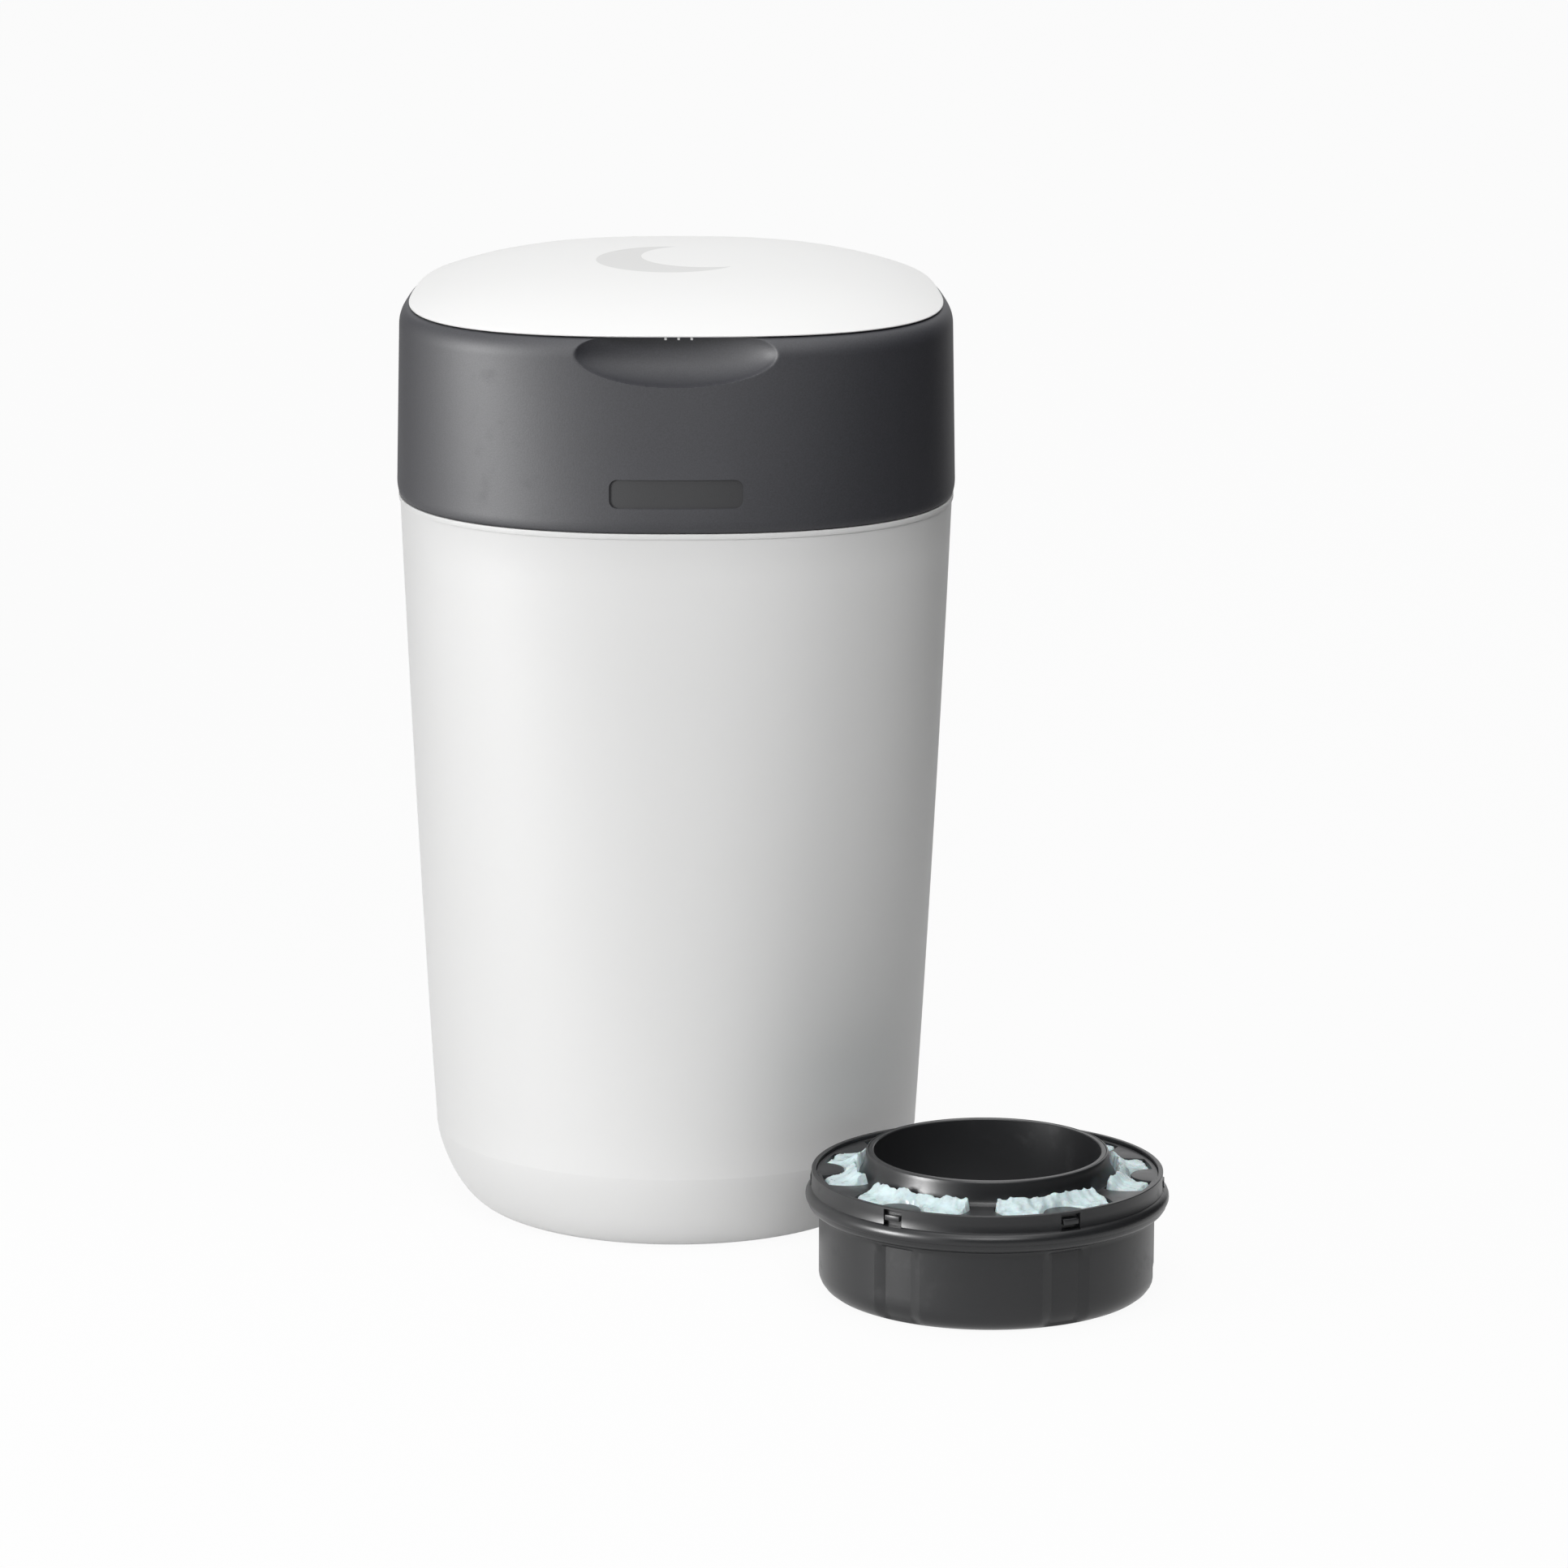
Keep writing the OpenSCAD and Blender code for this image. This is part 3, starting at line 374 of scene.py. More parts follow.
def smooth(piece, degrees=35):
    pick(piece)
    bpy.ops.object.shade_smooth_by_angle(angle=math.radians(degrees))


def settle(piece, body, slot, *nodes):
    """Gives a finished piece its body and hides the nodes that it stands for; its slot is not used."""
    if not piece.data.polygons:
        raise RuntimeError(f"{piece.name} has no faces")
    deselect()
    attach(piece, body)
    if nodes:
        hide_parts(*nodes)


# Finishes

def effect(name, inputs, outputs):
    """A shader group with named sockets."""
    tree = bpy.data.node_groups.new(name, "ShaderNodeTree")
    for label, kind, value in inputs:
        tree.interface.new_socket(label, in_out="INPUT", socket_type=kind).default_value = value
    for label, kind in outputs:
        tree.interface.new_socket(label, in_out="OUTPUT", socket_type=kind)
    return tree, tree.nodes.new("NodeGroupInput"), tree.nodes.new("NodeGroupOutput")


def maths(tree, operation, first, second, clamp=False):
    node = tree.nodes.new("ShaderNodeMath")
    node.operation = operation
    node.use_clamp = clamp
    for socket, value in zip(node.inputs, (first, second)):
        if isinstance(value, (int, float)):
            socket.default_value = value
        else:
            tree.links.new(value, socket)
    return node.outputs[0]


def spread(tree, value, low, high, to_low, to_high):
    node = tree.nodes.new("ShaderNodeMapRange")
    tree.links.new(value, node.inputs["Value"])
    for label, number in (("From Min", low), ("From Max", high), ("To Min", to_low), ("To Max", to_high)):
        node.inputs[label].default_value = number
    return node.outputs["Result"]


def noise_of(tree, vector, scale, detail=2.0, roughness=0.5):
    node = tree.nodes.new("ShaderNodeTexNoise")
    tree.links.new(vector, node.inputs["Vector"])
    if isinstance(scale, (int, float)):
        node.inputs["Scale"].default_value = scale
    else:
        tree.links.new(scale, node.inputs["Scale"])
    node.inputs["Detail"].default_value = detail
    node.inputs["Roughness"].default_value = roughness
    return node.outputs["Fac"]


def moulded_surface():
    """Slow tone, fine speckle, scuffs and grain height of a moulded plastic."""
    if "moulded surface" in bpy.data.node_groups:
        return bpy.data.node_groups["moulded surface"]
    tree, start, end = effect("moulded surface", [("Tone Scale", "NodeSocketFloat", 9.0),
                                                  ("Grain Scale", "NodeSocketFloat", 2200.0)],
                              [("Tone", "NodeSocketFloat"), ("Speckle", "NodeSocketFloat"),
                               ("Scuff", "NodeSocketFloat"), ("Height", "NodeSocketFloat")])
    place = tree.nodes.new("ShaderNodeTexCoord").outputs["Object"]
    tone = noise_of(tree, place, start.outputs["Tone Scale"], 3.0)
    fine = noise_of(tree, place, start.outputs["Grain Scale"], 2.0, 0.6)
    scuff = noise_of(tree, place, 60.0, 6.0, 0.7)
    tree.links.new(tone, end.inputs["Tone"])
    tree.links.new(spread(tree, fine, 0.35, 0.65, 0.0, 1.0), end.inputs["Speckle"])
    tree.links.new(spread(tree, scuff, 0.56, 0.74, 0.0, 1.0), end.inputs["Scuff"])
    tree.links.new(fine, end.inputs["Height"])
    return tree


def painted_edge_highlight():
    """Where corners stick out, painted a little lighter as a highlight."""
    if "edge shine" in bpy.data.node_groups:
        return bpy.data.node_groups["edge shine"]
    tree, start, end = effect("edge shine", [("Low", "NodeSocketFloat", 0.52), ("High", "NodeSocketFloat", 0.60)],
                              [("Mask", "NodeSocketFloat")])
    sharp = tree.nodes.new("ShaderNodeNewGeometry").outputs["Pointiness"]
    node = tree.nodes.new("ShaderNodeMapRange")
    tree.links.new(sharp, node.inputs["Value"])
    tree.links.new(start.outputs["Low"], node.inputs["From Min"])
    tree.links.new(start.outputs["High"], node.inputs["From Max"])
    tree.links.new(node.outputs["Result"], end.inputs["Mask"])
    return tree


def mixed(tree, share, first, second):
    node = tree.nodes.new("ShaderNodeMix")
    node.data_type = "RGBA"
    for socket, value in ((node.inputs["Factor"], share), (node.inputs[6], first), (node.inputs[7], second)):
        if isinstance(value, bpy.types.NodeSocket):
            tree.links.new(value, socket)
        elif isinstance(value, (int, float)):
            socket.default_value = value
        else:
            socket.default_value = (*value, 1.0)
    return node.outputs[2]


def shade(base, share):
    return tuple(min(1.0, c * share) for c in base)


def plastic(name, base, roughness, tone=0.04, speckle=0.05, grain=2200.0, bump=0.08, edge=0.0, specular=0.5,
            scuff=0.05):
    """A moulded plastic with its own tone, grain and speckle, and a painted highlight on its edges."""
    made = bpy.data.materials.new(name)
    made.use_nodes = True
    tree = made.node_tree
    shader = tree.nodes["Principled BSDF"]
    surface = tree.nodes.new("ShaderNodeGroup")
    surface.node_tree = moulded_surface()
    surface.inputs["Grain Scale"].default_value = grain
    paint = mixed(tree, surface.outputs["Tone"], shade(base, 1 - tone), shade(base, 1 + tone))
    if speckle:
        flecks = maths(tree, "MULTIPLY", surface.outputs["Speckle"], speckle)
        paint = mixed(tree, flecks, paint, shade(base, 2.2))
    # Painted highlight: edges that stick out are painted lighter
    if edge:
        edge_highlight = tree.nodes.new("ShaderNodeGroup")
        edge_highlight.node_tree = painted_edge_highlight()
        paint = mixed(tree, maths(tree, "MULTIPLY", edge_highlight.outputs["Mask"], edge), paint, shade(base, 2.0))
    tree.links.new(paint, shader.inputs["Base Color"])
    gloss = maths(tree, "MULTIPLY_ADD", surface.outputs["Scuff"], scuff)
    gloss.node.inputs[2].default_value = roughness
    tree.links.new(gloss, shader.inputs["Roughness"])
    shader.inputs["Specular IOR Level"].default_value = specular
    relief = tree.nodes.new("ShaderNodeBump")
    relief.inputs["Strength"].default_value = bump
    relief.inputs["Distance"].default_value = 0.0001
    tree.links.new(surface.outputs["Height"], relief.inputs["Height"])
    tree.links.new(relief.outputs["Normal"], shader.inputs["Normal"])
    return made


def dress(piece, finish):
    piece.data.materials.clear()
    piece.data.materials.append(finish)


def finish_named(name, make):
    """One finish under its own name, apart from the solids' plain materials."""
    own = name + "_finish"
    return bpy.data.materials.get(own) or make(own)


def white_finish(name):
    return plastic(name, bpy.context.scene.nappy_bin.finishes.white, 0.52, tone=0.012, speckle=0.0, bump=0.05,
                   specular=0.25)


def graphite_finish(name):
    return plastic(name, bpy.context.scene.nappy_bin.finishes.graphite, 0.6, tone=0.05, speckle=0.3,
                   grain=1300.0, bump=0.5, edge=0.25, specular=0.7)


def vector_maths(tree, operation, first, second=None):
    node = tree.nodes.new("ShaderNodeVectorMath")
    node.operation = operation
    for socket, value in zip(node.inputs, (first, second)):
        if isinstance(value, bpy.types.NodeSocket):
            tree.links.new(value, socket)
        elif value is not None:
            socket.default_value = value
    return node.outputs["Value" if operation == "LENGTH" else "Vector"]


def band_finish(name):
    """Graphite with a darker, smoother floor in the bare recess."""
    head = bpy.context.scene.nappy_bin.head
    made = graphite_finish(name)
    tree = made.node_tree
    shader = tree.nodes["Principled BSDF"]
    place = tree.nodes.new("ShaderNodeTexCoord").outputs["Object"]
    round_off = 4 * MM
    off = vector_maths(tree, "ABSOLUTE", vector_maths(tree, "SUBTRACT", place, (0, -head.half, head.badge_middle)))
    half = (head.badge_width / 2 - round_off, 3 * MM, head.badge_height / 2 - round_off)
    past = vector_maths(tree, "MAXIMUM", vector_maths(tree, "SUBTRACT", off, half), (0, 0, 0))
    inside = spread(tree, vector_maths(tree, "LENGTH", past), round_off - 0.3 * MM, round_off, 1.0, 0.0)
    paint = shader.inputs["Base Color"].links[0].from_socket
    dark = shade(bpy.context.scene.nappy_bin.finishes.graphite, 0.4)
    tree.links.new(mixed(tree, inside, paint, dark), shader.inputs["Base Color"])
    gloss = shader.inputs["Roughness"].links[0].from_socket
    tree.links.new(maths(tree, "ADD", gloss, maths(tree, "MULTIPLY", inside, 0.12)), shader.inputs["Roughness"])
    return made


def charcoal_finish(name):
    return plastic(name, bpy.context.scene.nappy_bin.finishes.charcoal, 0.42, bump=0.1)


def cassette_finish(name):
    return plastic(name, bpy.context.scene.nappy_bin.finishes.cassette, 0.34, tone=0.10, speckle=0.03,
                   grain=900.0, bump=0.05, edge=0.5, specular=0.45, scuff=0.12)


def aqua_finish(name):
    return plastic(name, bpy.context.scene.nappy_bin.finishes.aqua, 0.38, tone=0.03, speckle=0.0)


def rubber_finish(name):
    return plastic(name, (0.025, 0.025, 0.027), 0.7, bump=0.2, specular=0.3)


def steel_finish(name):
    made = bpy.data.materials.new(name)
    made.use_nodes = True
    tree = made.node_tree
    shader = tree.nodes["Principled BSDF"]
    shader.inputs["Metallic"].default_value = 1.0
    place = tree.nodes.new("ShaderNodeTexCoord").outputs["Object"]
    streak = tree.nodes.new("ShaderNodeMapping")
    streak.inputs["Scale"].default_value = (40, 900, 900)
    tree.links.new(place, streak.inputs["Vector"])
    grain = noise_of(tree, streak.outputs["Vector"], 1.0, 3.0)
    tree.links.new(mixed(tree, grain, (0.55, 0.56, 0.58), (0.70, 0.71, 0.73)), shader.inputs["Base Color"])
    tree.links.new(spread(tree, grain, 0.3, 0.7, 0.24, 0.38), shader.inputs["Roughness"])
    return made


def film_finish(name):
    made = bpy.data.materials.new(name)
    made.use_nodes = True
    tree = made.node_tree
    shader = tree.nodes["Principled BSDF"]
    base = bpy.context.scene.nappy_bin.finishes.film
    place = tree.nodes.new("ShaderNodeTexCoord").outputs["Object"]
    # Lighter and darker patches at random over the film; its roughness follows the same pattern
    film_mottle = noise_of(tree, place, 140.0, 4.0, 0.6)
    tree.links.new(mixed(tree, spread(tree, film_mottle, 0.35, 0.65, 0.0, 1.0), shade(base, 0.82), shade(base, 1.12)),
                   shader.inputs["Base Color"])
    tree.links.new(spread(tree, film_mottle, 0.3, 0.7, 0.2, 0.42), shader.inputs["Roughness"])
    shader.inputs["Subsurface Weight"].default_value = 0.25
    shader.inputs["Subsurface Scale"].default_value = 0.003
    relief = tree.nodes.new("ShaderNodeBump")
    relief.inputs["Strength"].default_value = 0.4
    relief.inputs["Distance"].default_value = 0.0008
    tree.links.new(noise_of(tree, place, 260.0, 4.0, 0.55), relief.inputs["Height"])
    tree.links.new(relief.outputs["Normal"], shader.inputs["Normal"])
    return made


# Tub

HEAD_AXIS = (141.7, 363.0)
LID_AXIS = (138.9, 450.4)
PIN_BORE = 2.55
EYE_HALF = 20.0
HINGE_HALF = 34.0


def back_of(half, roundness, taper, x):
    """How far back the outline reaches at a distance from the middle."""
    return (half ** roundness - abs(x / (1 - 0.9 * taper)) ** roundness) ** (1 / roundness)


def add_arms(piece, outline, eye_radius, axis, sides, bore_half):
    """Joins moulded arms with their eyes to a piece and bores the eyes for the pin."""
    for count, (x0, x1) in enumerate(sides):
        arm = slab(f"arm_{count}", outline, x0, x1, 0.5)
        combine(arm, rod("eye", eye_radius, x0, x1, *axis, edge=0.4), "UNION")
        combine(piece, arm, "UNION")
    combine(piece, rod("bore", PIN_BORE, -bore_half, bore_half, *axis), "DIFFERENCE")


def make_tub(s):
    rim = s.rim_half
    wall_top = rim - s.collar_step
    inner = wall_top - s.wall
    step = s.height - s.collar_height
    base = s.crease_half - s.foot_round

    def wall_levels(high, low):
        levels = []
        for i in range(15, 0, -1):
            f = i / 16
            levels.append((low + (high - low) * f + 4 * s.bulge * f * (1 - f),
                           s.crease_height + (step - s.crease_height) * f))
        return levels + [(low, s.crease_height + 1.2 * MM)]

    def foot_levels(half, floor):
        levels = []
        for i in range(17):
            w = math.radians(90 - 90 * i / 16)
            levels.append((half - s.foot_round * (1 - (1 - math.cos(w) ** s.foot_lean) ** (1 / s.foot_full)),
                           floor + (s.crease_height - floor) * (1 - math.cos(w))))
        return levels
    piece = rounded_square("tub_body", rim, s.height, 48)
    grow(piece, [(rim, step + 0.3 * MM), (rim - 0.15 * MM, step + 0.05 * MM), (wall_top + 0.1 * MM, step),
                 (wall_top, step - 0.3 * MM)])
    grow(piece, wall_levels(wall_top, s.crease_half) + foot_levels(s.crease_half, 0))
    grow(piece, [(base - 10 * MM, 0), (base - 12 * MM, 1.2 * MM), (base * 0.4, 1.2 * MM), (base * 0.05, 1.2 * MM)])
    pole(piece)
    choose(piece, "faces", lambda f: abs(face_height(f) - s.height) < 1e-5 and len(f.verts) > 4)
    grow(piece, [(rim - 0.3 * MM, s.height), (inner + 0.4 * MM, s.height), (inner, s.height - 0.4 * MM), (inner, step)])
    grow(piece, wall_levels(inner, s.crease_half - s.wall) + foot_levels(s.crease_half - s.wall, s.floor))
    grow(piece, [(base * 0.5, s.floor), (base * 0.05, s.floor)])
    pole(piece)
    face_outwards()
    leave()

    def rule(z):
        share = min(max((z - s.crease_height) / (step - s.crease_height), 0), 1)
        return 2 + (s.roundness - 2) * share, s.taper * share
    narrow(piece, rule)
    wall_back = back_of(wall_top / MM, s.roundness, s.taper, HINGE_HALF)
    y, z = HEAD_AXIS
    lean = 5.5 * math.cos(math.radians(45))
    top = s.height / MM
    outline = [(wall_back - 1.3, top - 25), (wall_back + 1, top - 25), (y + lean, z - lean), (y, z),
               (y - lean, z + lean), (s.rim_half / MM + 1.2, top), (wall_back - 1.3, top)]
    add_arms(piece, outline, 5.5, HEAD_AXIS, [(-HINGE_HALF, -EYE_HALF - 0.3), (EYE_HALF + 0.3, HINGE_HALF)],
             HINGE_HALF + 1)
    smooth(piece, 40)
    enter(piece)
    choose(piece, "edges", lambda e: all(abs(v.co.z - s.crease_height) < 1e-5 for v in e.verts))
    bpy.ops.mesh.mark_sharp()
    leave()
    dress(piece, finish_named("white_plastic", white_finish))
    settle(piece, "tub", "white_plastic", "tub_shell")


# Head

def scoop_back(head, x, z, more):
    """How far back the scoop's egg reaches at a place, or nothing outside it."""
    rise = z - head.rim + head.scoop_drop
    q = (x / (head.scoop_half + more)) ** 2 + (rise / (head.scoop_height + more)) ** 2
    if q >= 1:
        return None
    return -head.high_half + (head.scoop_depth + more) * math.sqrt(1 - q)


def soft_max(a, b, width):
    return (a + b + math.sqrt((a - b) ** 2 + width ** 2)) / 2


def press_scoop(piece, head, rule):
    """Presses the finger scoop into the band's outer and inner skins."""
    split = head.rim_half - head.wall / 2
    for v in piece.data.vertices:
        low = head.rim - head.scoop_drop - head.scoop_height
        if v.co.y > -0.09 or abs(v.co.x) > head.scoop_half + 6 * MM or v.co.z < low - 6 * MM:
            continue
        half = plan_half(v.co, *rule(v.co.z))
        outer = half > (split if v.co.z > head.rim - head.shoulder else head.high_half - head.wall / 2)
        back = scoop_back(head, v.co.x, v.co.z, 0 if outer else 2.2 * MM)
        if back is None:
            back = -head.high_half - 3 * MM
        v.co.y = soft_max(v.co.y, back, 0.5 * MM)


def badge_tool(head, rule):
    """The bare recess's cutter: a rounded plate whose back follows the band."""
    deselect()
    bpy.ops.mesh.primitive_plane_add(size=1, location=(0, -head.half - 1 * MM, head.badge_middle),
                                     rotation=(math.pi / 2, 0, 0), scale=(1, 1, 1))
    tool = bpy.context.object
    tool.scale = (head.badge_width, head.badge_height, 1)
    tool = fresh("badge_tool")
    bpy.ops.mesh.bevel(offset=4 * MM, segments=10, affect="VERTICES")
    bpy.ops.mesh.select_all(action="SELECT")
    bpy.ops.mesh.extrude_region_move(TRANSFORM_OT_translate={"value": (0, 8 * MM, 0)})
    face_outwards()
    leave()
    core = rounded_square("core", head.low_half - 0.8 * MM, head.bottom, 96)
    grow(core, [(head.half - 0.8 * MM, head.bottom + head.turn), (head.high_half - 0.8 * MM, head.rim - head.shoulder)])
    face_outwards()
    leave()
    narrow(core, rule)
    return combine(tool, core, "DIFFERENCE")


def make_band(head, low_roundness, taper):
    low = head.bottom
    start = low + head.turn
    stop = head.rim - head.shoulder

    def rule(z):
        share = min(max((z - start) / (stop - start), 0), 1)
        return low_roundness + (head.roundness - low_roundness) * share, taper
    quarter = [math.radians(7.5 * i) for i in range(13)]
    levels = [(head.low_half + (head.half - head.low_half) * math.sin(w), low + head.turn * (1 - math.cos(w)))
              for w in quarter]
    under_scoop = head.rim - head.scoop_drop - head.scoop_height - 2 * MM
    for height in [low + 14 * MM, low + 24 * MM, low + 44 * MM] + [under_scoop + (stop - under_scoop) * i / 17
                                                                   for i in range(17)]:
        share = (height - start) / (stop - start)
        levels.append((head.half + (head.high_half - head.half) * share, height))
    width = head.high_half - head.rim_half
    levels += [(head.rim_half + width * math.cos(w), head.rim - head.shoulder * (1 - math.sin(w))) for w in quarter]
    piece = rounded_square("head_band", levels[0][0], levels[0][1], 160)
    grow(piece, levels[1:])
    rim_in = head.rim_half - 2.7 * MM
    inner_high = head.high_half - head.wall
    inner_low = head.low_half - head.wall
    ledge = 10 * MM
    deck = head.rim - 12.2 * MM
    foot = low + 3.3 * MM
    grow(piece, [(rim_in + 0.4 * MM, head.rim), (rim_in, head.rim - 0.4 * MM), (rim_in, head.rim - 4 * MM),
                 (rim_in + 1.5 * MM, deck), (inner_high - ledge, deck), (inner_high - ledge, deck - 3.4 * MM),
                 (inner_high, deck - 3.4 * MM), (head.half - head.wall, foot + 3.4 * MM),
                 (inner_low - ledge, foot + 3.4 * MM), (inner_low - ledge, foot), (inner_low, foot), (inner_low, low)])
    bpy.ops.mesh.delete(type="FACE")
    choose(piece, "faces", lambda f: len(f.verts) > 4)
    bpy.ops.mesh.delete(type="FACE")
    choose(piece, "edges", lambda e: len(e.link_faces) == 1)
    bpy.ops.mesh.bridge_edge_loops()
    face_outwards()
    leave()
    narrow(piece, rule)
    combine(piece, badge_tool(head, rule), "DIFFERENCE")
    enter(piece)
    choose(piece, "faces", lambda f: f.calc_center_median().y < -0.1 and abs(f.calc_center_median().x) < 0.055
           and face_height(f) > under_scoop)
    bpy.ops.mesh.subdivide(number_cuts=1)
    leave()
    press_scoop(piece, head, rule)
    add_band_arms(piece, head, taper)
    smooth(piece, 32)
    dress(piece, finish_named("band", band_finish))
    settle(piece, "head", "graphite_plastic", "band")


def add_band_arms(piece, head, taper):
    wall_back = back_of(head.high_half / MM, head.roundness, taper, HINGE_HALF)
    y, z = LID_AXIS
    lean = 4.6 * math.cos(math.radians(45))
    rim = head.rim / MM
    outline = [(wall_back - 1.5, rim - 30), (wall_back + 0.5, rim - 30), (y + lean, z - lean), (y, z),
               (y - lean, z + lean), (wall_back - 1.5, rim - 9)]
    add_arms(piece, outline, 4.6, LID_AXIS, [(-HINGE_HALF, -EYE_HALF - 0.3), (EYE_HALF + 0.3, HINGE_HALF)],
             HINGE_HALF + 1)
    y, z = HEAD_AXIS
    lean = 5.5 * math.cos(math.radians(45))
    low = head.bottom / MM
    half = head.half / MM
    outline = [(half - 1.5, low + 30), (half - 1.5, low + 3), (half + 0.5, low + 1), (y - lean, z - lean), (y, z),
               (y + lean, z + lean), (half + 1, low + 30)]
    add_arms(piece, outline, 5.5, HEAD_AXIS, [(-EYE_HALF, EYE_HALF)], EYE_HALF + 1)


# Lid

def make_lid(s, roundness, taper):
    half = s.half
    edge = s.edge
    top = edge + 0.8 * MM
    shares = [1, 0.995, 0.985, 0.97, 0.95, 0.92, 0.88, 0.83, 0.77, 0.70, 0.62, 0.53, 0.43, 0.32, 0.21, 0.11, 0.04]

    def dome(q, z):
        return z + s.rise * (1 - q ** s.fullness)
    piece = rounded_square("lid_top", half - 0.7 * MM, edge, 80)
    grow(piece, [(half - 0.25 * MM, edge + 0.08 * MM), (half - 0.05 * MM, edge + 0.3 * MM), (half, edge + 0.5 * MM),
                 (half - 0.02 * MM, edge + 0.68 * MM)])
    grow(piece, [(half * q - (0.12 * MM if q == 1 else 0), dome(q, top)) for q in shares])
    pole(piece)
    choose(piece, "faces", lambda f: abs(face_height(f) - edge) < 1e-5 and len(f.verts) > 4)
    inside = half - s.wall
    first = 0.945
    grow(piece, [(inside * first, edge)])
    grow(piece, [(inside * q, max(edge + 0.1 * MM, dome(q, top - s.wall))) for q in [first] + [q for q in shares if q < first]])
    pole(piece)
    face_outwards()
    leave()
    narrow(piece, lambda z: (roundness, taper))
    pitch = 6.2
    for count in (-1, 0, 1):
        deselect()
        middle = (count + 0.2) * pitch
        bpy.ops.mesh.primitive_cube_add(size=1, location=(middle * MM, -half + 3.6 * MM, edge - 0.3 * MM),
                                        scale=(1.2 * MM, 4.2 * MM, 2.4 * MM))
        rib = fresh("lip_rib")
        bpy.ops.mesh.bevel(offset=0.25 * MM, segments=2, affect="EDGES")
        leave()
        combine(piece, rib, "UNION")
    y, z = LID_AXIS
    lean = 4.6 * math.cos(math.radians(45))
    a = half / MM
    e = edge / MM
    outline = [(a - 4, e + 0.6), (a - 0.3, e + 0.3), (y - 6, z + 4.5), (y - 4.3, z + 1.2), (y, z), (y + lean, z + lean),
               (a, e + 2.6), (a - 4, e + 3.2)]
    add_arms(piece, outline, 4.6, LID_AXIS, [(-EYE_HALF, EYE_HALF)], EYE_HALF + 1)
    smooth(piece, 40)
    dress(piece, finish_named("lid_plastic", lid_finish))
    settle(piece, "lid", "white_plastic", "lid_shell")


def lid_finish(name):
    """White plastic with a plain pale crescent printed near the front of the dome."""
    made = white_finish(name)
    tree = made.node_tree
    shader = tree.nodes["Principled BSDF"]
    paint = shader.inputs["Base Color"].links[0].from_socket
    place = tree.nodes.new("ShaderNodeTexCoord").outputs["Object"]

    def disc(x, y, radius):
        at = tree.nodes.new("ShaderNodeVectorMath")
        at.operation = "SUBTRACT"
        tree.links.new(place, at.inputs[0])
        at.inputs[1].default_value = (x * MM, y * MM, 0)
        flat = tree.nodes.new("ShaderNodeVectorMath")
        flat.operation = "MULTIPLY"
        tree.links.new(at.outputs[0], flat.inputs[0])
        flat.inputs[1].default_value = (1, 1, 0)
        far = tree.nodes.new("ShaderNodeVectorMath")
        far.operation = "LENGTH"
        tree.links.new(flat.outputs[0], far.inputs[0])
        return spread(tree, far.outputs["Value"], radius * MM - 0.00015, radius * MM + 0.00015, 1.0, 0.0)
    moon = maths(tree, "SUBTRACT", disc(-3, -4, 36), disc(14, 4, 31), clamp=True)
    upper = tree.nodes.new("ShaderNodeSeparateXYZ")
    tree.links.new(place, upper.inputs[0])
    moon = maths(tree, "MULTIPLY", moon, maths(tree, "GREATER_THAN", upper.outputs["Z"], 0.4566))
    tree.links.new(mixed(tree, moon, paint, bpy.context.scene.nappy_bin.finishes.motif), shader.inputs["Base Color"])
    return made


# Cassette

CUP_PROFILE = [(54.6, 0.35), (54.95, 0.0), (70.8, 0.0), (73.5, 0.35), (76.0, 1.4), (78.1, 3.0), (79.7, 5.2),
               (80.7, 7.7), (81.1, 10.3), (81.1, 14), (81.1, 18), (81.1, 22), (81.1, 26), (81.1, 30), (81.1, 34),
               (81.1, 38.0), (81.1, 39.6), (81.3, 40.1), (82.2, 40.5), (83.9, 41.1), (85.2, 42.0), (86.0, 43.2),
               (86.25, 44.6),
               (86.35, 45.0), (86.9, 45.3), (87.15, 45.9), (87.2, 46.8), (87.1, 47.8), (86.7, 48.8), (86.0, 49.7),
               (85.2, 50.3), (84.5, 50.6), (84.3, 51.0), (84.3, 55), (84.3, 58.9), (84.0, 59.2), (82.5, 59.2),
               (82.1, 58.9), (82.1, 52), (82.1, 45), (76.7, 40), (76.7, 10.3), (70.8, 2.5), (57.1, 2.5), (57.1, 40),
               (57.1, 68.4), (56.8, 68.7), (55.0, 68.7), (54.6, 68.3), (54.6, 40)]


def around(s):
    """The directions of the panels."""
    return [s.turn + i * FULL_TURN / s.panels for i in range(s.panels)]


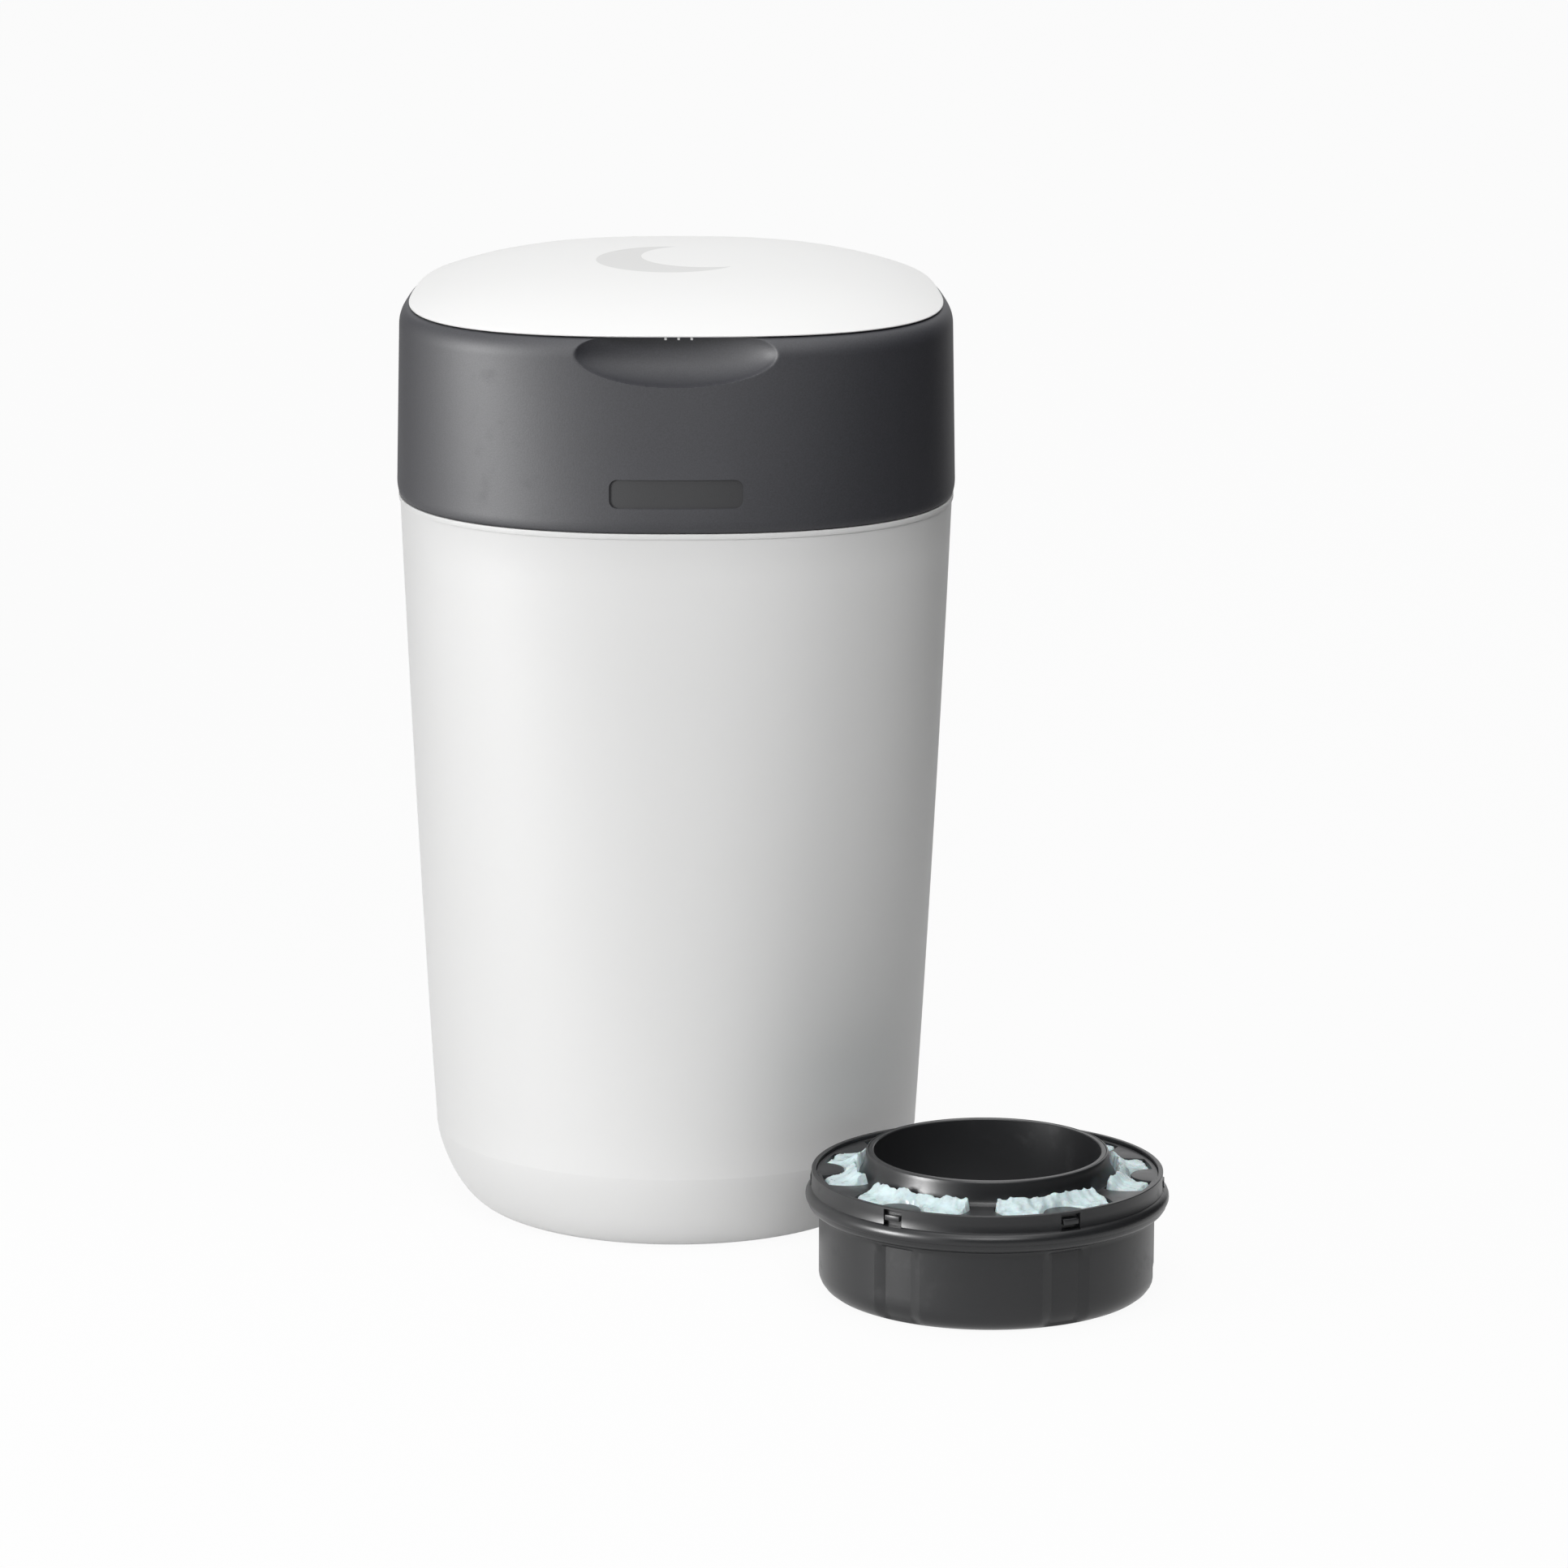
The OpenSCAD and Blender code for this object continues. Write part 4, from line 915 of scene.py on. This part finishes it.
def make_cassette_body(s):
    x, y = s.middle
    piece = turned("cassette_body", CUP_PROFILE, 360, s.middle)
    enter(piece)
    choose(piece, "verts", lambda v: math.hypot(v.co.x - x, v.co.y - y) < 0.0775 or v.co.z > 0.0391)
    bpy.ops.mesh.hide(unselected=False)
    for w in around(s):
        def inside(v, w=w):
            off = math.atan2(v.co.y - y, v.co.x - x) - w
            return abs(math.atan2(math.sin(off), math.cos(off))) < math.radians(5.3)
        choose(piece, "verts", inside)
        bpy.ops.transform.translate(value=(-2 * MM * math.cos(w), -2 * MM * math.sin(w), 0),
                                    use_proportional_edit=True, proportional_edit_falloff="LINEAR",
                                    proportional_size=5.6 * MM, use_proportional_connected=False)
    bpy.ops.mesh.reveal(select=False)

    def border(e):
        if min(v.co.z for v in e.verts) < 0.0076 or max(v.co.z for v in e.verts) > 0.0391:
            return False
        for w in around(s):
            off = [math.atan2(v.co.y - y, v.co.x - x) - w for v in e.verts]
            off = [abs(math.degrees(math.atan2(math.sin(a), math.cos(a)))) for a in off]
            if all(abs(a - 5) < 0.3 for a in off) or all(abs(a - 9) < 0.3 for a in off):
                return True
        return False
    choose(piece, "edges", border)
    bpy.ops.mesh.mark_sharp()
    leave()
    for w in around(s):
        deselect()
        bpy.ops.mesh.primitive_cube_add(size=1, location=(x + 83.5 * MM * math.cos(w), y + 83.5 * MM * math.sin(w), 54.2 * MM),
                                        rotation=(0, 0, w), scale=(7 * MM, 10 * MM, 8 * MM))
        tool = fresh("window_tool")
        leave()
        combine(piece, tool, "DIFFERENCE")
    smooth(piece, 30)
    dress(piece, finish_named("cassette_plastic", cassette_finish))
    settle(piece, "cassette", "cassette_plastic", "cassette_cup")


WINDOW_IN = 61.5
WINDOW_OUT = 79.5
TONGUE = 10.8


def spoke_half(radius):
    share = (radius - WINDOW_IN) / (WINDOW_OUT - WINDOW_IN)
    return 4.6 + 8.4 * share ** 2 + 1.7 * (1 - share) ** 4


def window_half_angle(radius, panels):
    return math.pi / panels - math.asin(spoke_half(radius) / radius)


def window_outline(panels):
    """One window of the cover, about the X axis, in millimetres, with its tongue left out of it."""
    points = []
    steps = 10
    radii = [WINDOW_IN + (WINDOW_OUT - WINDOW_IN) * i / steps for i in range(steps + 1)]
    for r in radii:
        points.append((r, -window_half_angle(r, panels)))
    root = 2 * math.asin(TONGUE / 2 / WINDOW_OUT)
    out = window_half_angle(WINDOW_OUT, panels)
    for i in range(1, 6):
        points.append((WINDOW_OUT, -out + (out - root) * i / 6))
    flat = [(r * math.cos(w), r * math.sin(w)) for r, w in points]
    lean = math.acos(TONGUE / 2 / WINDOW_OUT)
    for i in range(17):
        w = -lean + 2 * lean * i / 16
        flat.append((WINDOW_OUT - TONGUE * math.cos(w), TONGUE * math.sin(w)))
    for i in range(5, 0, -1):
        w = out - (out - root) * i / 6
        flat.append((WINDOW_OUT * math.cos(w), WINDOW_OUT * math.sin(w)))
    for r in reversed(radii):
        w = window_half_angle(r, panels)
        flat.append((r * math.cos(w), r * math.sin(w)))
    inner = window_half_angle(WINDOW_IN, panels)
    for i in range(1, 12):
        w = inner - 2 * inner * i / 12
        flat.append((WINDOW_IN * math.cos(w), WINDOW_IN * math.sin(w)))
    return flat


def make_cassette_cover(s):
    x, y = s.middle
    top = s.cover_top
    outline = window_outline(s.panels)
    piece = draw("cassette_lid", [(x + px * MM, y + py * MM, top) for px, py in outline], filled=False)
    turn_mesh(s.turn, s.middle)
    for i in range(s.panels - 1):
        bpy.ops.mesh.duplicate()
        turn_mesh(FULL_TURN / s.panels, s.middle)
    bpy.ops.mesh.primitive_circle_add(vertices=240, radius=81.7 * MM, location=(x, y, top))
    bpy.ops.mesh.primitive_circle_add(vertices=180, radius=60.9 * MM, location=(x, y, top))
    bpy.ops.mesh.select_all(action="SELECT")
    bpy.ops.mesh.fill(use_beauty=True)
    bpy.ops.mesh.select_all(action="SELECT")
    bpy.ops.mesh.extrude_region_move(TRANSFORM_OT_translate={"value": (0, 0, -2 * MM)})
    face_outwards()
    leave()
    neck = turned("neck", [(57.2, 55.5), (61.4, 55.5), (61.4, 57.2), (60.9, 57.75), (60.3, 58.3), (59.8, 59.3), (59.4, 60.6),
                           (59.0, 62.4), (58.65, 64.5), (58.35, 66.5), (58.15, 67.9), (57.95, 68.45), (57.6, 68.7),
                           (57.2, 68.7)], 240, s.middle)
    combine(piece, neck, "UNION")
    skirt = turned("skirt", [(81.0, 49.8), (81.9, 49.8), (81.9, 56.9), (81.4, 57.2), (81.0, 56.9)], 240, s.middle)
    combine(piece, skirt, "UNION")
    for w in around(s):
        deselect()
        bpy.ops.mesh.primitive_cube_add(size=1, location=(x + 83.05 * MM * math.cos(w), y + 83.05 * MM * math.sin(w), 54.3 * MM),
                                        rotation=(0, 0, w), scale=(3.6 * MM, 8 * MM, 2.6 * MM))
        tab = fresh("clip")
        bpy.ops.mesh.bevel(offset=0.3 * MM, segments=2, affect="EDGES")
        leave()
        combine(piece, tab, "UNION")
    enter(piece)
    choose(piece, "edges", lambda e: len(e.link_faces) == 2 and e.calc_face_angle() > 1
           and all(abs(v.co.z - top) < 1e-5 and 0.0614 < math.hypot(v.co.x - x, v.co.y - y) < 0.0813 for v in e.verts))
    bpy.ops.mesh.bevel(offset=0.4 * MM, segments=3, affect="EDGES")
    leave()
    smooth(piece, 35)
    dress(piece, finish_named("cassette_plastic", cassette_finish))
    settle(piece, "cassette", "cassette_plastic", "cassette_cover")


def film_height(s, px, py):
    """Height of the gathered film at a place, in millimetres about the cassette's middle."""
    r = math.hypot(px, py)
    w = math.atan2(py, px) - s.turn
    step = FULL_TURN / s.panels
    off = (w + step / 2) % step - step / 2
    inside = 0.0
    if WINDOW_IN - 1 < r < WINDOW_OUT + 1:
        side = (window_half_angle(min(max(r, WINDOW_IN), WINDOW_OUT), s.panels) - abs(off)) * r
        ends = min(r - WINDOW_IN, WINDOW_OUT - r)
        flat = (r * math.cos(off) - WINDOW_OUT, r * math.sin(off))
        tongue = math.hypot(*flat) - TONGUE
        near = min(side, ends, tongue) + 1.6 * noise.noise(Vector((px * 0.22, py * 0.22, 6.1)))
        inside = min(max((near - 0.4) / 1.6, 0.0), 1.0)
        inside = inside * inside * (3 - 2 * inside)
    seed = Vector((px * 0.16, py * 0.16, 3.7))
    crumple = noise.ridged_multi_fractal(seed, 0.9, 2.1, 4, 1.0, 2.0) - 1.1
    fine = noise.noise(Vector((px * 0.9, py * 0.9, 1.3)))
    pleat = noise.noise(Vector((w * 22, r * 0.12, 0.5)))
    share = min(max((r - WINDOW_IN) / (WINDOW_OUT - WINDOW_IN), 0.0), 1.0)
    lift = 2.8 + 4.4 * math.exp(-((share - 0.08) / 0.24) ** 2) + 0.5 * (1 - share)
    swell = lift + 0.5 * crumple + 0.12 * fine + 1.7 * pleat * (1 - share)
    return 54.6 + inside * swell


def make_film(s):
    x, y = s.middle
    rows = 30
    profile = [(57.9 + (80.6 - 57.9) * i / rows, 54.6) for i in range(rows + 1)]
    piece = turned("film_gather", profile + [(80.6, 50), (75.8, 42), (75.8, 12), (57.9, 12)], 600, s.middle)
    for v in piece.data.vertices:
        if v.co.z > 0.0545:
            v.co.z = film_height(s, (v.co.x - x) / MM, (v.co.y - y) / MM) * MM
    smooth(piece, 60)
    dress(piece, finish_named("film", film_finish))
    settle(piece, "cassette", "film", "film_pack")


# Mechanism: the solids whose shape is right keep it and get their finish

NODE_FINISHES = {
    "charcoal_plastic": ("well", "pan", "gripper_ring", "carrier"),
    "graphite_plastic": ("deck", "cutter_housing"),
    "aqua_plastic": ("twist_ring", "cutter_slider", "petal_1", "petal_2", "petal_3", "petal_4", "petal_5", "petal_6"),
    "white_plastic": ("lid_liner", "seal_carrier"),
    "seal_rubber": ("lid_seal",),
    "steel": ("head_hinge_pin", "lid_hinge_pin", "click_spring", "deck_screws", "pan_screws", "gripper_screws",
              "cutter_blade"),
}
FINISH_MAKERS = {
    "charcoal_plastic": charcoal_finish,
    "graphite_plastic": graphite_finish,
    "aqua_plastic": aqua_finish,
    "white_plastic": white_finish,
    "seal_rubber": rubber_finish,
    "steel": steel_finish,
}


def dress_nodes():
    for name, nodes in NODE_FINISHES.items():
        finish = finish_named(name, FINISH_MAKERS[name])
        for node in nodes:
            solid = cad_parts[node]
            if not solid.material_slots:
                solid.data.materials.append(finish)
            for slot in solid.material_slots:
                slot.material = finish


# Studio

def lamp(name, place, target, wide, high, watts):
    light = bpy.data.lights.new(name, "AREA")
    light.shape = "RECTANGLE"
    light.size = wide
    light.size_y = high
    light.energy = watts
    holder = bpy.data.objects.new(name, light)
    bpy.context.scene.collection.objects.link(holder)
    holder.location = place
    holder.rotation_euler = (Vector(target) - Vector(place)).to_track_quat("-Z", "Y").to_euler()
    return holder


def seen_white(tree, shader, share):
    """White to the camera and in reflections, by a share, and the plain surface to all other light."""
    path = tree.nodes.new("ShaderNodeLightPath")
    seen = maths(tree, "MAXIMUM", path.outputs["Is Camera Ray"],
                 maths(tree, "MAXIMUM", path.outputs["Is Glossy Ray"], path.outputs["Is Transmission Ray"]))
    glow = tree.nodes.new("ShaderNodeEmission" if shader.bl_idname != "ShaderNodeBackground" else "ShaderNodeBackground")
    glow.inputs["Strength"].default_value = 1.0
    glow.inputs["Color"].default_value = (1, 1, 1, 1)
    mix = tree.nodes.new("ShaderNodeMixShader")
    tree.links.new(maths(tree, "MULTIPLY", seen, share), mix.inputs[0])
    tree.links.new(shader.outputs[0], mix.inputs[1])
    tree.links.new(glow.outputs[0], mix.inputs[2])
    return mix


def dark_card(name, middle, wide, high, turn):
    """A dark card, out of the camera's sight, which darkens that side of the object."""
    deselect()
    bpy.ops.mesh.primitive_plane_add(size=1, location=middle, rotation=turn)
    card = bpy.context.object
    card.name = name
    card.scale = (wide, high, 1)
    bpy.ops.object.transform_apply(location=True, rotation=True, scale=True)
    black = bpy.data.materials.get("dark_card") or bpy.data.materials.new("dark_card")
    black.use_nodes = True
    shader = black.node_tree.nodes["Principled BSDF"]
    shader.inputs["Base Color"].default_value = (0.03, 0.03, 0.03, 1)
    shader.inputs["Roughness"].default_value = 1.0
    shader.inputs["Specular IOR Level"].default_value = 0.0
    card.data.materials.append(black)
    card.visible_camera = False


def make_studio(s):
    scene = bpy.context.scene
    scene.view_settings.view_transform = "Standard"
    deselect()
    bpy.ops.mesh.primitive_plane_add(size=14, location=(0, 0, 0))
    ground = bpy.context.object
    ground.name = "studio_floor"
    pale = bpy.data.materials.new("studio_floor")
    pale.use_nodes = True
    tree = pale.node_tree
    shader = tree.nodes["Principled BSDF"]
    shader.inputs["Base Color"].default_value = (0.82, 0.82, 0.82, 1)
    shader.inputs["Roughness"].default_value = 0.9
    shader.inputs["Specular IOR Level"].default_value = 0.0
    mix = seen_white(tree, shader, 0.94)
    tree.links.new(mix.outputs[0], tree.nodes["Material Output"].inputs["Surface"])
    ground.data.materials.append(pale)
    world = bpy.data.worlds.new("studio_room")
    scene.world = world
    world.use_nodes = True
    tree = world.node_tree
    room = tree.nodes["Background"]
    room.inputs["Color"].default_value = (1, 1, 1, 1)
    room.inputs["Strength"].default_value = s.room
    mix = seen_white(tree, room, 1.0)
    tree.links.new(mix.outputs[0], tree.nodes["World Output"].inputs["Surface"])
    lamp("key_lamp", (-1.75, -1.05, 0.5), (0, 0, 0.3), 0.5, 1.0, s.key)
    lamp("sheen_lamp", (-1.72, -1.05, 0.45), (0, 0, 0.4), 0.6, 0.9, s.sheen).visible_diffuse = False
    lamp("top_lamp", (0.2, -0.3, 2.4), (0, 0, 0.3), 1.6, 1.6, s.top)
    lamp("front_lamp", (0.1, -2.0, 1.9), (0, 0, 0.3), 1.4, 0.8, s.front)
    upright = math.pi / 2
    dark_card("dark_card_right", (0.9, -0.25, 0.55), 2.5, 1.1, (upright, 0, upright))
    dark_card("dark_card_left", (-0.7, 0.9, 0.55), 1.2, 1.1, (upright, 0, upright))
    dark_card("dark_card_front", (0.2, -1.5, 0.42), 1.5, 0.84, (upright, 0, 0))
    dark_card("dark_card_near", (0.2, -1.06, 0.004), 1.4, 0.86, (0, 0, 0))
    dark_card("dark_card_beside", (0.74, -0.1, 0.004), 0.3, 2.4, (0, 0, 0))
    data = bpy.data.cameras.new("camera")
    camera = bpy.data.objects.new("camera", data)
    scene.collection.objects.link(camera)
    camera.location = s.eye
    camera.rotation_euler = (math.pi / 2 - s.pitch, 0, 0)
    data.lens = s.lens
    data.sensor_width = 36
    data.shift_x = s.shift
    data.clip_end = 100
    scene.camera = camera


# Operators and panel

class BIN_OT_studio(bpy.types.Operator):
    """Make the floor, the lamps and the camera."""
    bl_idname = "bin.studio"
    bl_label = "Studio"

    def execute(self, context):
        make_studio(context.scene.nappy_bin.studio)
        return {"FINISHED"}


class BIN_OT_tub(bpy.types.Operator):
    """Model the tub with its hinge arms."""
    bl_idname = "bin.tub"
    bl_label = "Tub"

    def execute(self, context):
        make_tub(context.scene.nappy_bin.tub)
        return {"FINISHED"}


class BIN_OT_band(bpy.types.Operator):
    """Model the head's band with its scoop, bare recess and hinge arms."""
    bl_idname = "bin.band"
    bl_label = "Head band"

    def execute(self, context):
        settings = context.scene.nappy_bin
        make_band(settings.head, settings.tub.roundness, settings.tub.taper)
        return {"FINISHED"}


class BIN_OT_lid(bpy.types.Operator):
    """Model the domed lid with its lip ribs and hinge eye."""
    bl_idname = "bin.lid"
    bl_label = "Lid"

    def execute(self, context):
        settings = context.scene.nappy_bin
        make_lid(settings.lid, settings.head.roundness, settings.tub.taper)
        return {"FINISHED"}


class BIN_OT_cassette(bpy.types.Operator):
    """Model the cassette's body, its cover and the gathered film."""
    bl_idname = "bin.cassette"
    bl_label = "Film cassette"

    def execute(self, context):
        settings = context.scene.nappy_bin.cassette
        make_cassette_body(settings)
        make_cassette_cover(settings)
        make_film(settings)
        return {"FINISHED"}


class BIN_OT_mechanism(bpy.types.Operator):
    """Give the deck, the turning parts, the petals, the cutter and the pins their finishes."""
    bl_idname = "bin.mechanism"
    bl_label = "Mechanism"

    def execute(self, context):
        dress_nodes()
        return {"FINISHED"}


class BIN_PT_panel(bpy.types.Panel):
    """Steps and settings of the nappy bin."""
    bl_idname = "BIN_PT_panel"
    bl_label = "Nappy bin"
    bl_space_type = "VIEW_3D"
    bl_region_type = "UI"
    bl_category = "Nappy bin"

    def draw(self, context):
        for step in STEPS:
            self.layout.operator(step.bl_idname)
        settings = context.scene.nappy_bin
        for group in (settings.tub, settings.head, settings.lid, settings.cassette, settings.finishes, settings.studio):
            box = self.layout.box()
            for name in group.__annotations__:
                box.prop(group, name)


STEPS = (BIN_OT_studio, BIN_OT_tub, BIN_OT_band, BIN_OT_lid, BIN_OT_cassette, BIN_OT_mechanism)
CLASSES = (TubSizes, HeadSizes, LidSizes, CassetteSizes, Finishes, StudioSettings, BinSettings, *STEPS, BIN_PT_panel)


def register():
    for made in CLASSES:
        bpy.utils.register_class(made)
    bpy.types.Scene.nappy_bin = PointerProperty(type=BinSettings, name="Nappy bin", description="Settings")


def unregister():
    del bpy.types.Scene.nappy_bin
    for made in reversed(CLASSES):
        bpy.utils.unregister_class(made)


def main():
    register()
    bpy.ops.bin.studio()
    bpy.ops.bin.tub()
    bpy.ops.bin.band()
    bpy.ops.bin.lid()
    bpy.ops.bin.cassette()
    bpy.ops.bin.mechanism()


if __name__ == "__main__":
    main()
